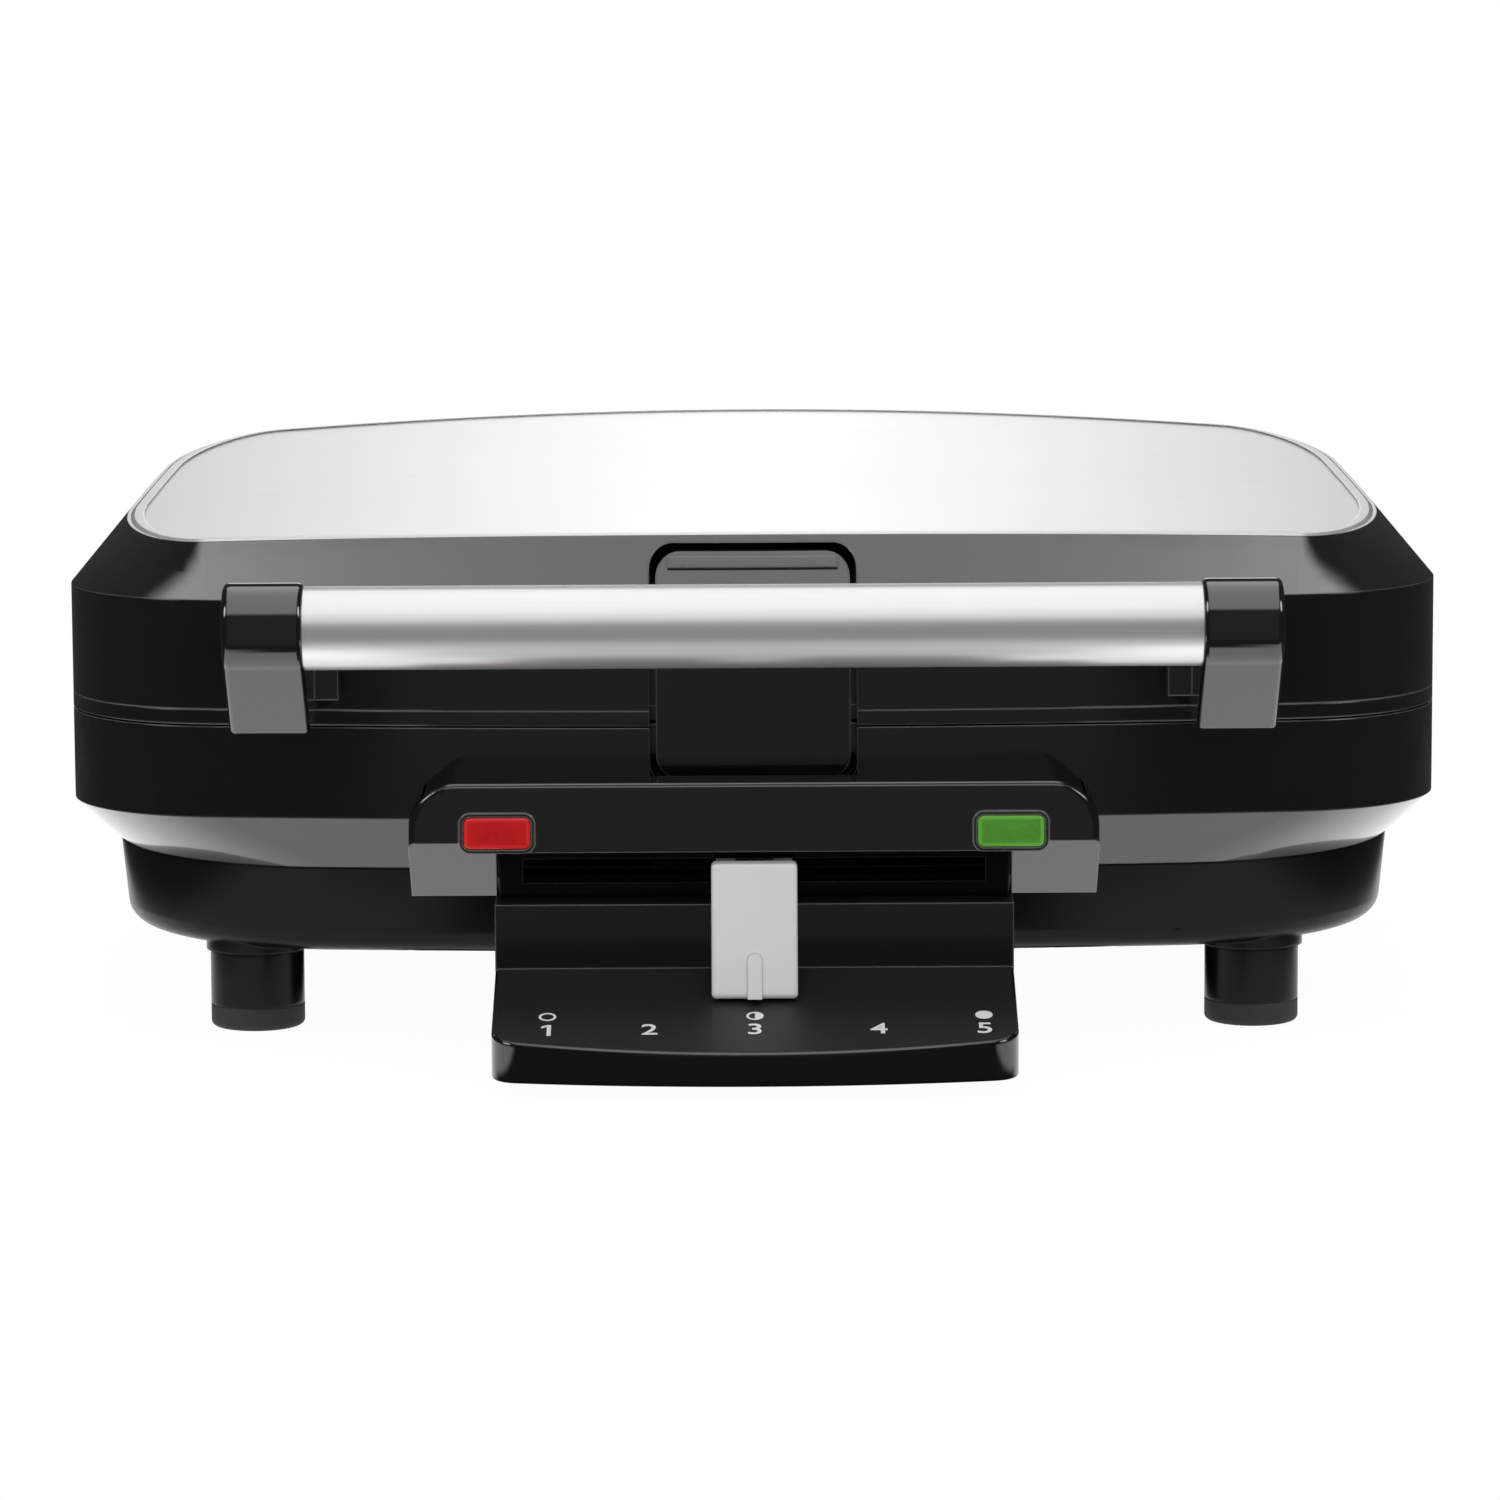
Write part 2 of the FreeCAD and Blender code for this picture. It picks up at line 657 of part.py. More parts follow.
def make_base_housing():
    ledge_low = rim_z - FLANGE - LEDGE
    below_ledge = box(-half_body, half_body, 0, BODY_DEPTH, 0, ledge_low)
    shell = base_outer.cut(base_form(WALL).common(below_ledge))
    shell = shell.cut(plan_prism(PLATE_PLAN, LEDGE_WIDTH, ledge_low, rim_z))
    shell = shell.cut(plan_prism(PLATE_PLAN, 0.0, rim_z - FLANGE, rim_z))
    posts = [
        rod((x, y, pan_floor_z), (0, 0, 1), POST_RADIUS, rim_z - FLANGE - pan_floor_z) for x, y in post_places
    ]
    shell = shell.fuse(posts + [catch_slab(CATCH_POCKET + LATCH_POCKET_WALL, LATCH_POCKET_WALL)])
    cuts = [catch_slab(CATCH_POCKET, 0.0)]
    cuts += [screw_hole((x, y, pan_floor_z), (0, 0, 1), SCREW_GRIP + OVERCUT) for x, y in post_places]
    cuts += [screw_hole((x, y, ledge_low), (0, 0, 1), LEDGE) for x, y in plate_screw_places]
    slot_half = slide_travel + NECK_WIDTH / 2 + NECK_SLOT_SIDE
    slot_top = neck_z + NECK_HEIGHT + NECK_SLOT_ABOVE
    cuts.append(box(-slot_half, slot_half, -OVERCUT, RACK_IN, bevel_z - OVERCUT, slot_top))
    for x in pod_screw_xs:
        cuts.append(screw_hole((x, -OVERCUT, pod_screw_z), (0, 1, 0), pod_screw_face(x) + OVERCUT))
        cuts.append(spot_face((x, pod_screw_face(x), pod_screw_z)))
    save("base_housing", shell.cut(cuts).removeSplitter())


def make_base_screws():
    pan_screws = [screw((x, y, pan_z), (0, 0, 1), WALL + SCREW_GRIP) for x, y in post_places]
    save_group("base_pan_screws", pan_screws)
    shank = WALL + SCREW_GRIP
    faces = [(x, pod_screw_face(x), pod_screw_z) for x in pod_screw_xs]
    faces += [(x, tray_screw_face(x), tray_screw_z) for x in tray_screw_xs]
    control_screws = [screw(face, (0, -1, 0), shank) for face in faces]
    save_group("control_screws", control_screws)


def waffle_plate():
    """Lower plate: a flange on the ledge, a tub, four square cavities and rows of tapered pegs."""
    plate = plan_prism(PLATE_PLAN, PLATE_GAP, rim_z - FLANGE, rim_z)
    plate = plate.fuse(plan_prism(PLATE_PLAN, tub_inset, tub_z, rim_z))
    cavity_z = rim_z - CAVITY_DEPTH
    cavity = plan_prism(PLATE_PLAN, cavity_inset, cavity_z, rim_z)
    half = DIVIDER / 2
    cavity = cavity.cut([
        box(-half, half, 0, BODY_DEPTH, cavity_z, rim_z),
        box(-half_body, half_body, middle_y - half, middle_y + half, cavity_z, rim_z),
    ])
    plate = plate.cut(cavity)
    pitch_x = (cavity_half_x - half) / PEG_ROWS
    pitch_y = (cavity_half_y - half) / PEG_ROWS
    offsets_x = [half + (i + 0.5) * pitch_x for i in range(PEG_ROWS)]
    offsets_y = [half + (i + 0.5) * pitch_y for i in range(PEG_ROWS)]
    pegs = [
        frustum(sx * ox, middle_y + sy * oy, cavity_z - PEG_ROOT, cavity_z + PEG_HEIGHT, PEG_BASE, PEG_TOP)
        for sx in (-1, 1)
        for sy in (-1, 1)
        for ox in offsets_x
        for oy in offsets_y
    ]
    boss_low = reflector_z
    bosses = [rod((x, y, boss_low), (0, 0, 1), PLATE_BOSS_RADIUS, tub_z - boss_low) for x, y in boss_places]
    plate = plate.fuse(pegs + bosses)
    holes = [screw_hole((x, y, boss_low), (0, 0, 1), SCREW_GRIP + OVERCUT) for x, y in boss_places]
    holes += [screw_hole((x, y, rim_z - FLANGE), (0, 0, 1), FLANGE / 2) for x, y in plate_screw_places]
    return plate.cut(holes).removeSplitter()


def heating_element():
    """Tubular element bent to a U, with a pin at each tail."""
    x = cavity_half_x - ELEMENT_IN_X
    front = middle_y - cavity_half_y + ELEMENT_IN_Y
    rear = middle_y + cavity_half_y - ELEMENT_IN_Y + ELEMENT_TAIL
    bend = ELEMENT_BEND
    turn = bend * (1 - math.cos(math.radians(45)))

    def at(px, py):
        return Vector(px, py, element_z)

    path = [
        Part.LineSegment(at(x, rear), at(x, front + bend)).toShape(),
        Part.Arc(at(x, front + bend), at(x - turn, front + turn), at(x - bend, front)).toShape(),
        Part.LineSegment(at(x - bend, front), at(bend - x, front)).toShape(),
        Part.Arc(at(bend - x, front), at(turn - x, front + turn), at(-x, front + bend)).toShape(),
        Part.LineSegment(at(-x, front + bend), at(-x, rear)).toShape(),
    ]
    section = Part.Wire(Part.makeCircle(ELEMENT_RADIUS, at(x, rear), Vector(0, 1, 0)))
    tube = Part.Wire(path).makePipeShell([section], True, False)
    pins = [rod((s * x, rear, element_z), (0, 1, 0), ELEMENT_PIN_RADIUS, ELEMENT_TAIL) for s in (-1, 1)]
    return tube.fuse(pins)


def heat_reflector(probe_hole):
    """Flat reflector under a plate, held by the screws in the plate's bosses."""
    low = reflector_z - REFLECTOR_SHEET
    sheet = plan_prism(PLATE_PLAN, tub_inset + REFLECTOR_MARGIN, low, reflector_z)
    holes = [screw_hole((x, y, low), (0, 0, 1), REFLECTOR_SHEET) for x, y in boss_places]
    if probe_hole:
        holes.append(rod((0, probe_y, low), (0, 0, 1), PROBE_RADIUS + PROBE_HOLE_GAP, REFLECTOR_SHEET))
    return sheet.cut(holes)


def make_plates():
    plate = waffle_plate()
    element = heating_element()
    low = reflector_z - REFLECTOR_SHEET
    reflector_screws = Part.makeCompound(
        [screw((x, y, low), (0, 0, 1), REFLECTOR_SHEET + SCREW_GRIP) for x, y in boss_places]
    )
    ledge_low = rim_z - FLANGE - LEDGE
    plate_screws = Part.makeCompound(
        [screw((x, y, ledge_low), (0, 0, 1), LEDGE + FLANGE / 2) for x, y in plate_screw_places]
    )
    pieces = (
        ("plate", plate),
        ("heating_element", element),
        ("reflector_screws", reflector_screws),
        ("plate_screws", plate_screws),
    )
    for name, piece in pieces:
        save("lower_" + name, piece)
        save("upper_" + name, over_seam(piece))
    save("lower_heat_reflector", heat_reflector(True))
    save("upper_heat_reflector", over_seam(heat_reflector(False)))
    fuse_place = (-FUSE_LENGTH / 2, middle_y, reflector_z + FUSE_RADIUS)
    save("thermal_fuse", rod(fuse_place, (1, 0, 0), FUSE_RADIUS, FUSE_LENGTH))


def make_lid_frame():
    ring = plan_prism(BODY_PLAN, 0.0, frame_z, lid_z)
    top_z = frame_z + FLANGE + LEDGE
    ring = ring.fuse(plan_prism(BODY_PLAN, WALL + SNUG, frame_z, top_z))
    ring = ring.cut(plan_prism(PLATE_PLAN, LEDGE_WIDTH, frame_z, top_z))
    ring = ring.cut(plan_prism(PLATE_PLAN, 0.0, frame_z, frame_z + FLANGE))
    wall_half = pocket_half + LATCH_POCKET_WALL + SNUG
    wall_back = LATCH_POCKET + LATCH_POCKET_WALL + SNUG + front_y(BODY_PLAN, wall_half)
    cuts = [
        box(-pocket_half, pocket_half, -OVERCUT, LATCH_POCKET, frame_z, top_z),
        box(-wall_half, wall_half, -OVERCUT, wall_back, lid_z, top_z),
    ]
    for x, y in lid_post_places:
        cuts.append(rod((x, y, frame_z), (0, 0, 1), SCREW_HEAD_RADIUS + SNUG, SCREW_HEAD))
        cuts.append(screw_hole((x, y, frame_z), (0, 0, 1), top_z - frame_z))
    cuts += [
        screw_hole((x, y, frame_z + FLANGE), (0, 0, 1), LEDGE) for x, y in plate_screw_places
    ]
    save("lid_frame", ring.cut(cuts).removeSplitter())
    shank = top_z - frame_z - SCREW_HEAD + SCREW_GRIP
    frame_screws = [screw((x, y, frame_z + SCREW_HEAD), (0, 0, 1), shank) for x, y in lid_post_places]
    save_group("lid_frame_screws", frame_screws)


def latch_slab(inset, half, z_low, z_high, y_back):
    """Part of the lid's form, seen through a rounded window around the latch."""
    window = rounded_slab(half, z_low, z_high, LATCH_CORNER, -POD_REACH, y_back)
    return window.common(lid_form(inset, -LATCH_PROUD, min(z_low, lid_z) - OVERCUT))


def latch_layer(out_inset, in_inset, half, z_low, z_high):
    """Layer that follows the lid's front and shoulder between two insets."""
    inner = lid_form(in_inset, -LATCH_PROUD, min(z_low, lid_z) - 2 * OVERCUT)
    return latch_slab(out_inset, half, z_low, z_high, middle_y).cut(inner)


def make_lid_shell():
    shell = lid_outer.cut(lid_form(WALL, PANEL_SHEET + DECK))
    posts = [
        rod((x, y, frame_z + FLANGE + LEDGE), (0, 0, 1), POST_RADIUS, crown_z - lid_z).common(lid_outer)
        for x, y in lid_post_places
    ]
    pocket_top = latch_top_z + LATCH_GAP
    wall = LATCH_POCKET_WALL
    low = lid_z - 2 * LATCH_CORNER
    tray = latch_layer(0.0, LATCH_POCKET + wall, pocket_half + wall, low, pocket_top + wall)
    shell = shell.fuse(posts + [tray.common(lid_outer)])
    cuts = [latch_layer(-OVERCUT, LATCH_POCKET, pocket_half, low, pocket_top)]
    panel_seat = lid_form(PANEL_MARGIN - PANEL_GAP, -PANEL_RIM_RISE).cut(crown_solid(PANEL_SHEET))
    cuts.append(panel_seat)
    pin_half = pocket_half + wall
    pin_start = (-pin_half, LATCH_PIVOT_IN, latch_pivot_z)
    cuts.append(rod(pin_start, (1, 0, 0), LATCH_PIN_RADIUS + PIN_FIT, 2 * pin_half))
    for x, y in lid_post_places:
        cuts.append(screw_hole((x, y, frame_z + FLANGE + LEDGE), (0, 0, 1), SCREW_GRIP + OVERCUT))
    for x, z in handle_screw_places():
        cuts.append(screw_hole((x, -OVERCUT, z), (0, 1, 0), handle_screw_face(x) + OVERCUT))
        cuts.append(spot_face((x, handle_screw_face(x), z)))
    save("lid_shell", shell.cut(cuts).removeSplitter())


def make_top_panel():
    sheet = lid_form(PANEL_MARGIN, 0.0).cut(crown_solid(PANEL_SHEET))
    rim = lid_form(PANEL_MARGIN, -PANEL_RIM_RISE).cut(crown_solid(0.0))
    rim = rim.cut(lid_form(PANEL_MARGIN + PANEL_RIM_WIDTH, -PANEL_RIM_RISE))
    save("lid_top_panel", sheet.fuse(rim).removeSplitter())


def handle_screw_places():
    x = tube_half + BRACKET_WIDTH / 2
    low = lid_z + HANDLE_SCREW_LOW
    return [(s * x, z) for s in (-1, 1) for z in (low, low + HANDLE_SCREW_PITCH)]


def bracket_blank(x0):
    """Bracket that wraps the tube in front and runs back under the lid's shoulder."""
    turn = math.radians(BRACKET_TURN)
    top = Vector(x0, tube_y, tube_z + BRACKET_WRAP)
    front = Vector(x0, tube_y - BRACKET_WRAP, tube_z)
    chin_y = tube_y - BRACKET_WRAP * math.cos(turn)
    chin = Vector(x0, chin_y, tube_z - BRACKET_WRAP * math.sin(turn))
    heel = Vector(x0, -BRACKET_FOOT, lid_z - BRACKET_OVERHANG)
    low = Vector(x0, TRIM_DEPTH, lid_z - BRACKET_OVERHANG)
    high = Vector(x0, TRIM_DEPTH, tube_z + BRACKET_WRAP - BRACKET_TOP_FALL)
    edges = [Part.Arc(top, front, chin).toShape()]
    corners = [chin, heel, low, high, top]
    for a, b in zip(corners, corners[1:]):
        edges.append(Part.LineSegment(a, b).toShape())
    blank = Part.Face(Part.Wire(edges)).extrude(Vector(BRACKET_WIDTH, 0, 0))
    return blank.makeFillet(BRACKET_EDGE, blank.Edges)


def make_handle():
    frame_face = plan_prism(BODY_PLAN, 0.0, frame_z, lid_z)
    for name, s in sides:
        inner = tube_half
        bracket = bracket_blank(inner)
        pad_low = lid_z + BRACKET_PAD_LIFT
        pad = box(
            inner - BRACKET_PAD_WIDTH, inner + BRACKET_WIDTH / 2, -BRACKET_PAD, TRIM_DEPTH,
            pad_low, pad_low + BRACKET_PAD_HEIGHT,
        )
        bore = rod((inner, tube_y, tube_z), (1, 0, 0), TUBE_RADIUS + SNUG, TUBE_SEAT + SNUG)
        bracket = bracket.cut(bore).fuse(pad).cut([lid_outer, frame_face])
        holes = [
            screw_hole((x, handle_screw_face(x), z), (0, -1, 0), WALL + SCREW_GRIP + OVERCUT)
            for x, z in handle_screw_places() if x > 0
        ]
        bracket = bracket.cut(holes).removeSplitter()
        if s < 0:
            bracket = bracket.mirror(Vector(), Vector(1, 0, 0))
        save("handle_bracket_" + name, bracket)
    half = tube_half + TUBE_SEAT
    tube = rod((-half, tube_y, tube_z), (1, 0, 0), TUBE_RADIUS, 2 * half)
    save("handle_tube", tube.cut(rod((-half, tube_y, tube_z), (1, 0, 0), TUBE_BORE, 2 * half)))
    shank = WALL + SCREW_GRIP
    screws = [screw((x, handle_screw_face(x), z), (0, -1, 0), shank) for x, z in handle_screw_places()]
    save_group("handle_screws", screws)


def make_latch():
    plate = latch_layer(-LATCH_PROUD, LATCH_PLATE - LATCH_PROUD, latch_half, latch_bottom_z, latch_top_z)
    half = latch_half - LATCH_GAP
    pivot = (-half, LATCH_PIVOT_IN, latch_pivot_z)
    barrel = rod(pivot, (1, 0, 0), LATCH_BARREL_RADIUS, 2 * half)
    web = box(
        -half, half, 0, LATCH_PIVOT_IN, latch_pivot_z - LATCH_WEB / 2, latch_pivot_z + LATCH_WEB / 2
    )
    inner_face = LATCH_PLATE - LATCH_PROUD
    hook_half = KEEPER_WIDTH / 2
    hook = box(
        -hook_half, hook_half, 0, inner_face + LATCH_HOOK, latch_bottom_z, latch_bottom_z + LATCH_HOOK_HEIGHT
    )
    ribs = []
    for i in range(LATCH_RIBS):
        high = latch_top_z - LATCH_RIB_DROP + LATCH_RIB_HEIGHT - i * LATCH_RIB_PITCH
        rib = box(
            -LATCH_RIB_WIDTH / 2, LATCH_RIB_WIDTH / 2, -POD_REACH, middle_y, high - LATCH_RIB_HEIGHT, high
        )
        layer = lid_form(-LATCH_PROUD - LATCH_RIB_RISE, -2 * LATCH_PROUD)
        ribs.append(rib.common(layer).cut(lid_form(0.0, 0.0)))
    clip = plate.fuse([barrel, web, hook] + ribs)
    bore = rod(pivot, (1, 0, 0), LATCH_PIN_RADIUS + RUNNING_FIT, 2 * half)
    save("latch_clip", clip.cut(bore).removeSplitter())
    pin_half = pocket_half + LATCH_POCKET_WALL
    pin = rod((-pin_half, LATCH_PIVOT_IN, latch_pivot_z), (1, 0, 0), LATCH_PIN_RADIUS, 2 * pin_half)
    save("latch_pin", pin)
    keeper_low = latch_bottom_z + LATCH_HOOK_HEIGHT + KEEPER_LIFT
    keeper = box(
        -hook_half, hook_half, inner_face + LATCH_HOOK + KEEPER_GAP, CATCH_POCKET,
        keeper_low, keeper_low + KEEPER_HEIGHT,
    )
    save("latch_keeper", keeper)
    foot_z = lid_z + SPRING_FOOT
    tip_y = inner_face + SPRING_GAP
    tip_z = foot_z + SPRING_RISE
    strip = SPRING_STRIP
    profile = (
        (LATCH_POCKET, lid_z), (LATCH_POCKET, foot_z), (tip_y + strip, tip_z),
        (tip_y, tip_z), (LATCH_POCKET - strip, foot_z - strip), (LATCH_POCKET - strip, lid_z),
    )
    save("latch_spring", prism_x(profile, -SPRING_WIDTH / 2, SPRING_WIDTH / 2))


def knuckle(x0, x1, foot_low, foot_high):
    """Round knuckle on the hinge axis with a web that reaches the body's rear face."""
    eye = rod((x0, hinge_y, hinge_z), (1, 0, 0), KNUCKLE_RADIUS, x1 - x0)
    inside = BODY_DEPTH - FRONT_BOW - WALL
    web = prism_x(
        ((inside, foot_low), (inside, foot_high), (hinge_y, foot_high), (hinge_y, foot_low)), x0, x1
    )
    return eye.fuse(web)


def make_hinges():
    half = KNUCKLE_MIDDLE / 2
    outer = half + KNUCKLE_GAP + KNUCKLE_SIDE
    inside = BODY_DEPTH - FRONT_BOW - WALL
    low = rim_z - HINGE_PLATE_HEIGHT
    high = frame_z + HINGE_ARM_HEIGHT
    for name, s in sides:
        x = s * hinge_x
        rear = back_y(BODY_PLAN, x)
        bracket = box(x - outer, x + outer, inside, rear + HINGE_PLATE, low, rim_z)
        for a, b in ((-outer, -half - KNUCKLE_GAP), (half + KNUCKLE_GAP, outer)):
            bracket = bracket.fuse(knuckle(x + a, x + b, low, hinge_z))
        room_start = (x - half - KNUCKLE_GAP, hinge_y, hinge_z)
        room_length = KNUCKLE_MIDDLE + 2 * KNUCKLE_GAP
        middle_room = rod(room_start, (1, 0, 0), KNUCKLE_RADIUS + KNUCKLE_GAP, room_length)
        bore = rod((x - outer, hinge_y, hinge_z), (1, 0, 0), HINGE_PIN_RADIUS + PIN_FIT, 2 * outer)
        lid_room = plan_prism(BODY_PLAN, -KNUCKLE_GAP, rim_z, crown_z)
        bracket = bracket.cut([middle_room, bore, base_outer, lid_room]).removeSplitter()
        save("hinge_bracket_" + name, bracket)
        pin = rod((x - outer, hinge_y, hinge_z), (1, 0, 0), HINGE_PIN_RADIUS, 2 * outer)
        save("hinge_pin_" + name, pin)
        arm = box(x - outer, x + outer, inside, rear + HINGE_PLATE, lid_z + KNUCKLE_RADIUS, high)
        arm = arm.fuse(knuckle(x - half, x + half, hinge_z, high))
        bore = rod((x - half, hinge_y, hinge_z), (1, 0, 0), HINGE_PIN_RADIUS + RUNNING_FIT, KNUCKLE_MIDDLE)
        arm = arm.cut([bore, lid_outer, plan_prism(BODY_PLAN, -KNUCKLE_GAP, wall_z, lid_z)])
        save("hinge_arm_" + name, arm.removeSplitter())


def pod_chamfers(inset):
    """Spaces under the pod's sloping lower corners, moved in by the wall for the hollow."""
    low = pod_z + inset
    front = pod_front + inset
    high = low + POD_CHAMFER_RISE
    outside = pod_front - OVERCUT
    below = low - OVERCUT
    back = front + POD_CHAMFER_BACK
    profile = ((outside, below), (outside, high), (front, high), (back, low), (back, below))
    return [prism_x(profile, s * recess_half, s * pod_half) for s in (-1, 1)]


def make_control_pod():
    blank = box(-pod_half, pod_half, pod_front, TRIM_DEPTH, pod_z, pod_top_z)
    top_corners = [e for e in lines_along_y(blank) if e.BoundBox.ZMin > pod_z + OVERCUT]
    blank = blank.makeFillet(POD_CORNER, top_corners)
    front_edges = [
        e for e in blank.Edges if e.BoundBox.YMax < pod_front + 1e-5 and e.BoundBox.ZMax > pod_z + OVERCUT
    ]
    blank = blank.makeFillet(POD_EDGE, front_edges)
    blank = blank.cut(pod_chamfers(0.0))
    wall = POD_WALL
    inner = pod_half - wall
    hollow = box(-inner, inner, pod_front + wall, TRIM_DEPTH, pod_z + wall, pod_top_z - wall)
    recess = box(-recess_half, recess_half, pod_front - OVERCUT, recess_back, pod_z, recess_top_z)
    recess_walls = box(
        -recess_half - wall, recess_half + wall, pod_front, recess_back + wall, pod_z, recess_top_z + wall
    )
    notch_front = -POD_REACH / 2
    notch_top = pod_top_z + OVERCUT
    notch = box(-pocket_half, pocket_half, notch_front, TRIM_DEPTH, catch_floor_z, notch_top)
    outer = pocket_half + wall
    notch_walls = box(-outer, outer, notch_front - wall, TRIM_DEPTH, catch_floor_z - wall, pod_top_z)
    hollow = hollow.cut([recess_walls, notch_walls] + pod_chamfers(wall))
    slit_half = slide_travel + NECK_WIDTH / 2 + SLIDE_CLEARANCE
    slit = box(
        -slit_half, slit_half, recess_back - OVERCUT, recess_back + wall + OVERCUT,
        neck_z - SLIDE_CLEARANCE, neck_z + NECK_HEIGHT + SLIDE_CLEARANCE,
    )
    pod = blank.cut([hollow, recess, notch, slit])
    bosses = [
        rod((x, pod_front + wall, pod_screw_z), (0, 1, 0), POD_SCREW_BOSS, POD_REACH + WALL)
        for x in pod_screw_xs
    ]
    windows = [lens_block(s, SNUG, pod_front - OVERCUT, LENS_DEPTH + OVERCUT) for s in (-1, 1)]
    hole_start = -SCREW_GRIP - OVERCUT
    holes = [
        screw_hole((x, hole_start, pod_screw_z), (0, 1, 0), TRIM_DEPTH - hole_start) for x in pod_screw_xs
    ]
    bezels = [lens_block(s, BEZEL, pod_front - BEZEL_PROUD, BEZEL_PROUD + POD_WALL) for s in (-1, 1)]
    save("control_pod", pod.fuse(bosses + bezels).cut(windows + holes + [body_outer]).removeSplitter())


def lens_block(s, margin, front, depth):
    """Block the shape of a lens, larger all round by a margin."""
    half_w = LENS_WIDTH / 2 + margin
    half_h = LENS_HEIGHT / 2 + margin
    corner = LENS_CORNER + margin
    block = rounded_slab(half_w, lens_z - half_h, lens_z + half_h, corner, front, front + depth)
    block.translate(Vector(s * lens_x, 0, 0))
    return block


def make_indicators():
    for name, s in (("red", -1), ("green", 1)):
        front = pod_front - LENS_PROUD
        lens = lens_block(s, 0.0, front, LENS_DEPTH)
        front_edges = [e for e in lens.Edges if e.BoundBox.YMax < front + 1e-5]
        save(name + "_indicator_lens", lens.makeFillet(LENS_EDGE, front_edges))
        lamp_y = front + LENS_DEPTH + LAMP_RADIUS
        lamp_z = recess_top_z + POD_WALL + LAMP_LIFT + LAMP_RADIUS
        lamp = rod((s * lens_x - LAMP_LENGTH / 2, lamp_y, lamp_z), (1, 0, 0), LAMP_RADIUS, LAMP_LENGTH)
        save(name + "_indicator_lamp", lamp)


def tray_top(y):
    """Height of the tray's sloping floor at y."""
    return tray_floor_z + (y - riser_y) * tray_fall


def make_control_tray():
    front = -TRAY_REACH
    back = TRIM_DEPTH
    lip_z = tray_top(front) - TRAY_LIP
    flat_y = front + TRAY_FLAT
    under = lip_z + (back - flat_y) * tray_fall
    profile = (
        (front, lip_z), (front, tray_top(front)), (riser_y, tray_floor_z), (riser_y, pod_z),
        (back, pod_z), (back, under), (flat_y, lip_z),
    )
    half = TRAY_WIDTH / 2
    plan = Plan(half, front, BODY_DEPTH, TRAY_BOW, TRAY_SIDE_BOW, TRAY_CORNER)
    tray = prism_x(profile, -half, half).common(plan_prism(plan, 0.0, 0.0, rim_z))
    lip_edges = [
        e for e in tray.Edges
        if e.BoundBox.YMax < flat_y - OVERCUT
        and e.BoundBox.XLength > TRAY_CORNER
        and e.BoundBox.ZMax < tray_floor_z
    ]
    tray = tray.makeFillet(TRAY_EDGE, lip_edges)
    wall = TRAY_WALL
    room_y = riser_y + wall
    room_z = tray_top(room_y) + wall
    room = ((room_y, room_z), (room_y, pod_z - wall), (back, pod_z - wall), (back, under + wall))
    tray = tray.cut(prism_x(room, -half + wall, half - wall))
    bosses = [
        rod((x, room_y - wall / 2, tray_screw_z), (0, 1, 0), POST_RADIUS, back - room_y)
        for x in tray_screw_xs
    ]
    holes = [
        screw_hole((x, WALL - SCREW_GRIP, tray_screw_z), (0, 1, 0), back + SCREW_GRIP) for x in tray_screw_xs
    ]
    save("control_tray", tray.fuse(bosses).cut(holes + [body_outer]).removeSplitter())


def knob_face(height, offset):
    """(y, z) at a height up the knob's leaning front face, moved back by an offset."""
    lean = math.tan(math.radians(KNOB_LEAN))
    foot_z = tray_top(-KNOB_FOOT_REACH) + SLIDE_CLEARANCE
    return offset - KNOB_FOOT_REACH + height * lean, foot_z + height


def knob_layer(half, low, high, front, back):
    """Leaning bar between two heights and two depths of the knob."""
    profile = (knob_face(low, front), knob_face(high, front), knob_face(high, back), knob_face(low, back))
    return prism_x(profile, -half, half)


def make_slider():
    heel_y = KNOB_THICK - KNOB_FOOT_REACH
    heel = (heel_y, tray_top(heel_y) + SLIDE_CLEARANCE)
    profile = (knob_face(0, 0), knob_face(KNOB_HEIGHT, 0), knob_face(KNOB_HEIGHT, KNOB_THICK), heel)
    knob = prism_x(profile, -KNOB_WIDTH / 2, KNOB_WIDTH / 2)
    knob = knob.makeFillet(KNOB_EDGE, knob.Edges)
    pointer_top = POINTER_LIFT + POINTER_HEIGHT
    pointer = knob_layer(POINTER_WIDTH / 2, POINTER_LIFT, pointer_top, -POINTER_RISE, POINTER_SINK)
    top_z = knob_face(pointer_top, 0)[1]
    pointer = pointer.makeFillet(POINTER_ROUND, edges_at_z(lines_along_y(pointer), top_z))
    save("slider_knob", knob.cut(pointer))
    save("slider_pointer", pointer)
    front = carriage_back - CARRIAGE_THICK
    half = CARRIAGE_WIDTH / 2
    top = guide_z + CARRIAGE_ABOVE_GUIDE
    web = box(-half, half, front, carriage_back, neck_z - SLIDE_CLEARANCE, top)
    neck_half = NECK_WIDTH / 2
    neck = box(-neck_half, neck_half, -KNOB_FOOT_REACH, front, neck_z, neck_z + NECK_HEIGHT)
    neck = neck.cut([knob, knob_layer(half, 0, 2 * KNOB_HEIGHT, -POD_REACH, KNOB_THICK / 2)])
    arm = box(-neck_half, neck_half, carriage_back, RACK_IN + RACK_BAR, neck_z, neck_z + NECK_HEIGHT)
    carriage = web.fuse([neck, arm, rack()])
    bore = rod((-half, guide_y, guide_z), (1, 0, 0), GUIDE_RADIUS + RUNNING_FIT, CARRIAGE_WIDTH)
    save("slider_carriage", carriage.cut(bore).removeSplitter())
    inner = pod_half - POD_WALL
    save("slider_guide_rod", rod((-inner, guide_y, guide_z), (1, 0, 0), GUIDE_RADIUS, 2 * inner))


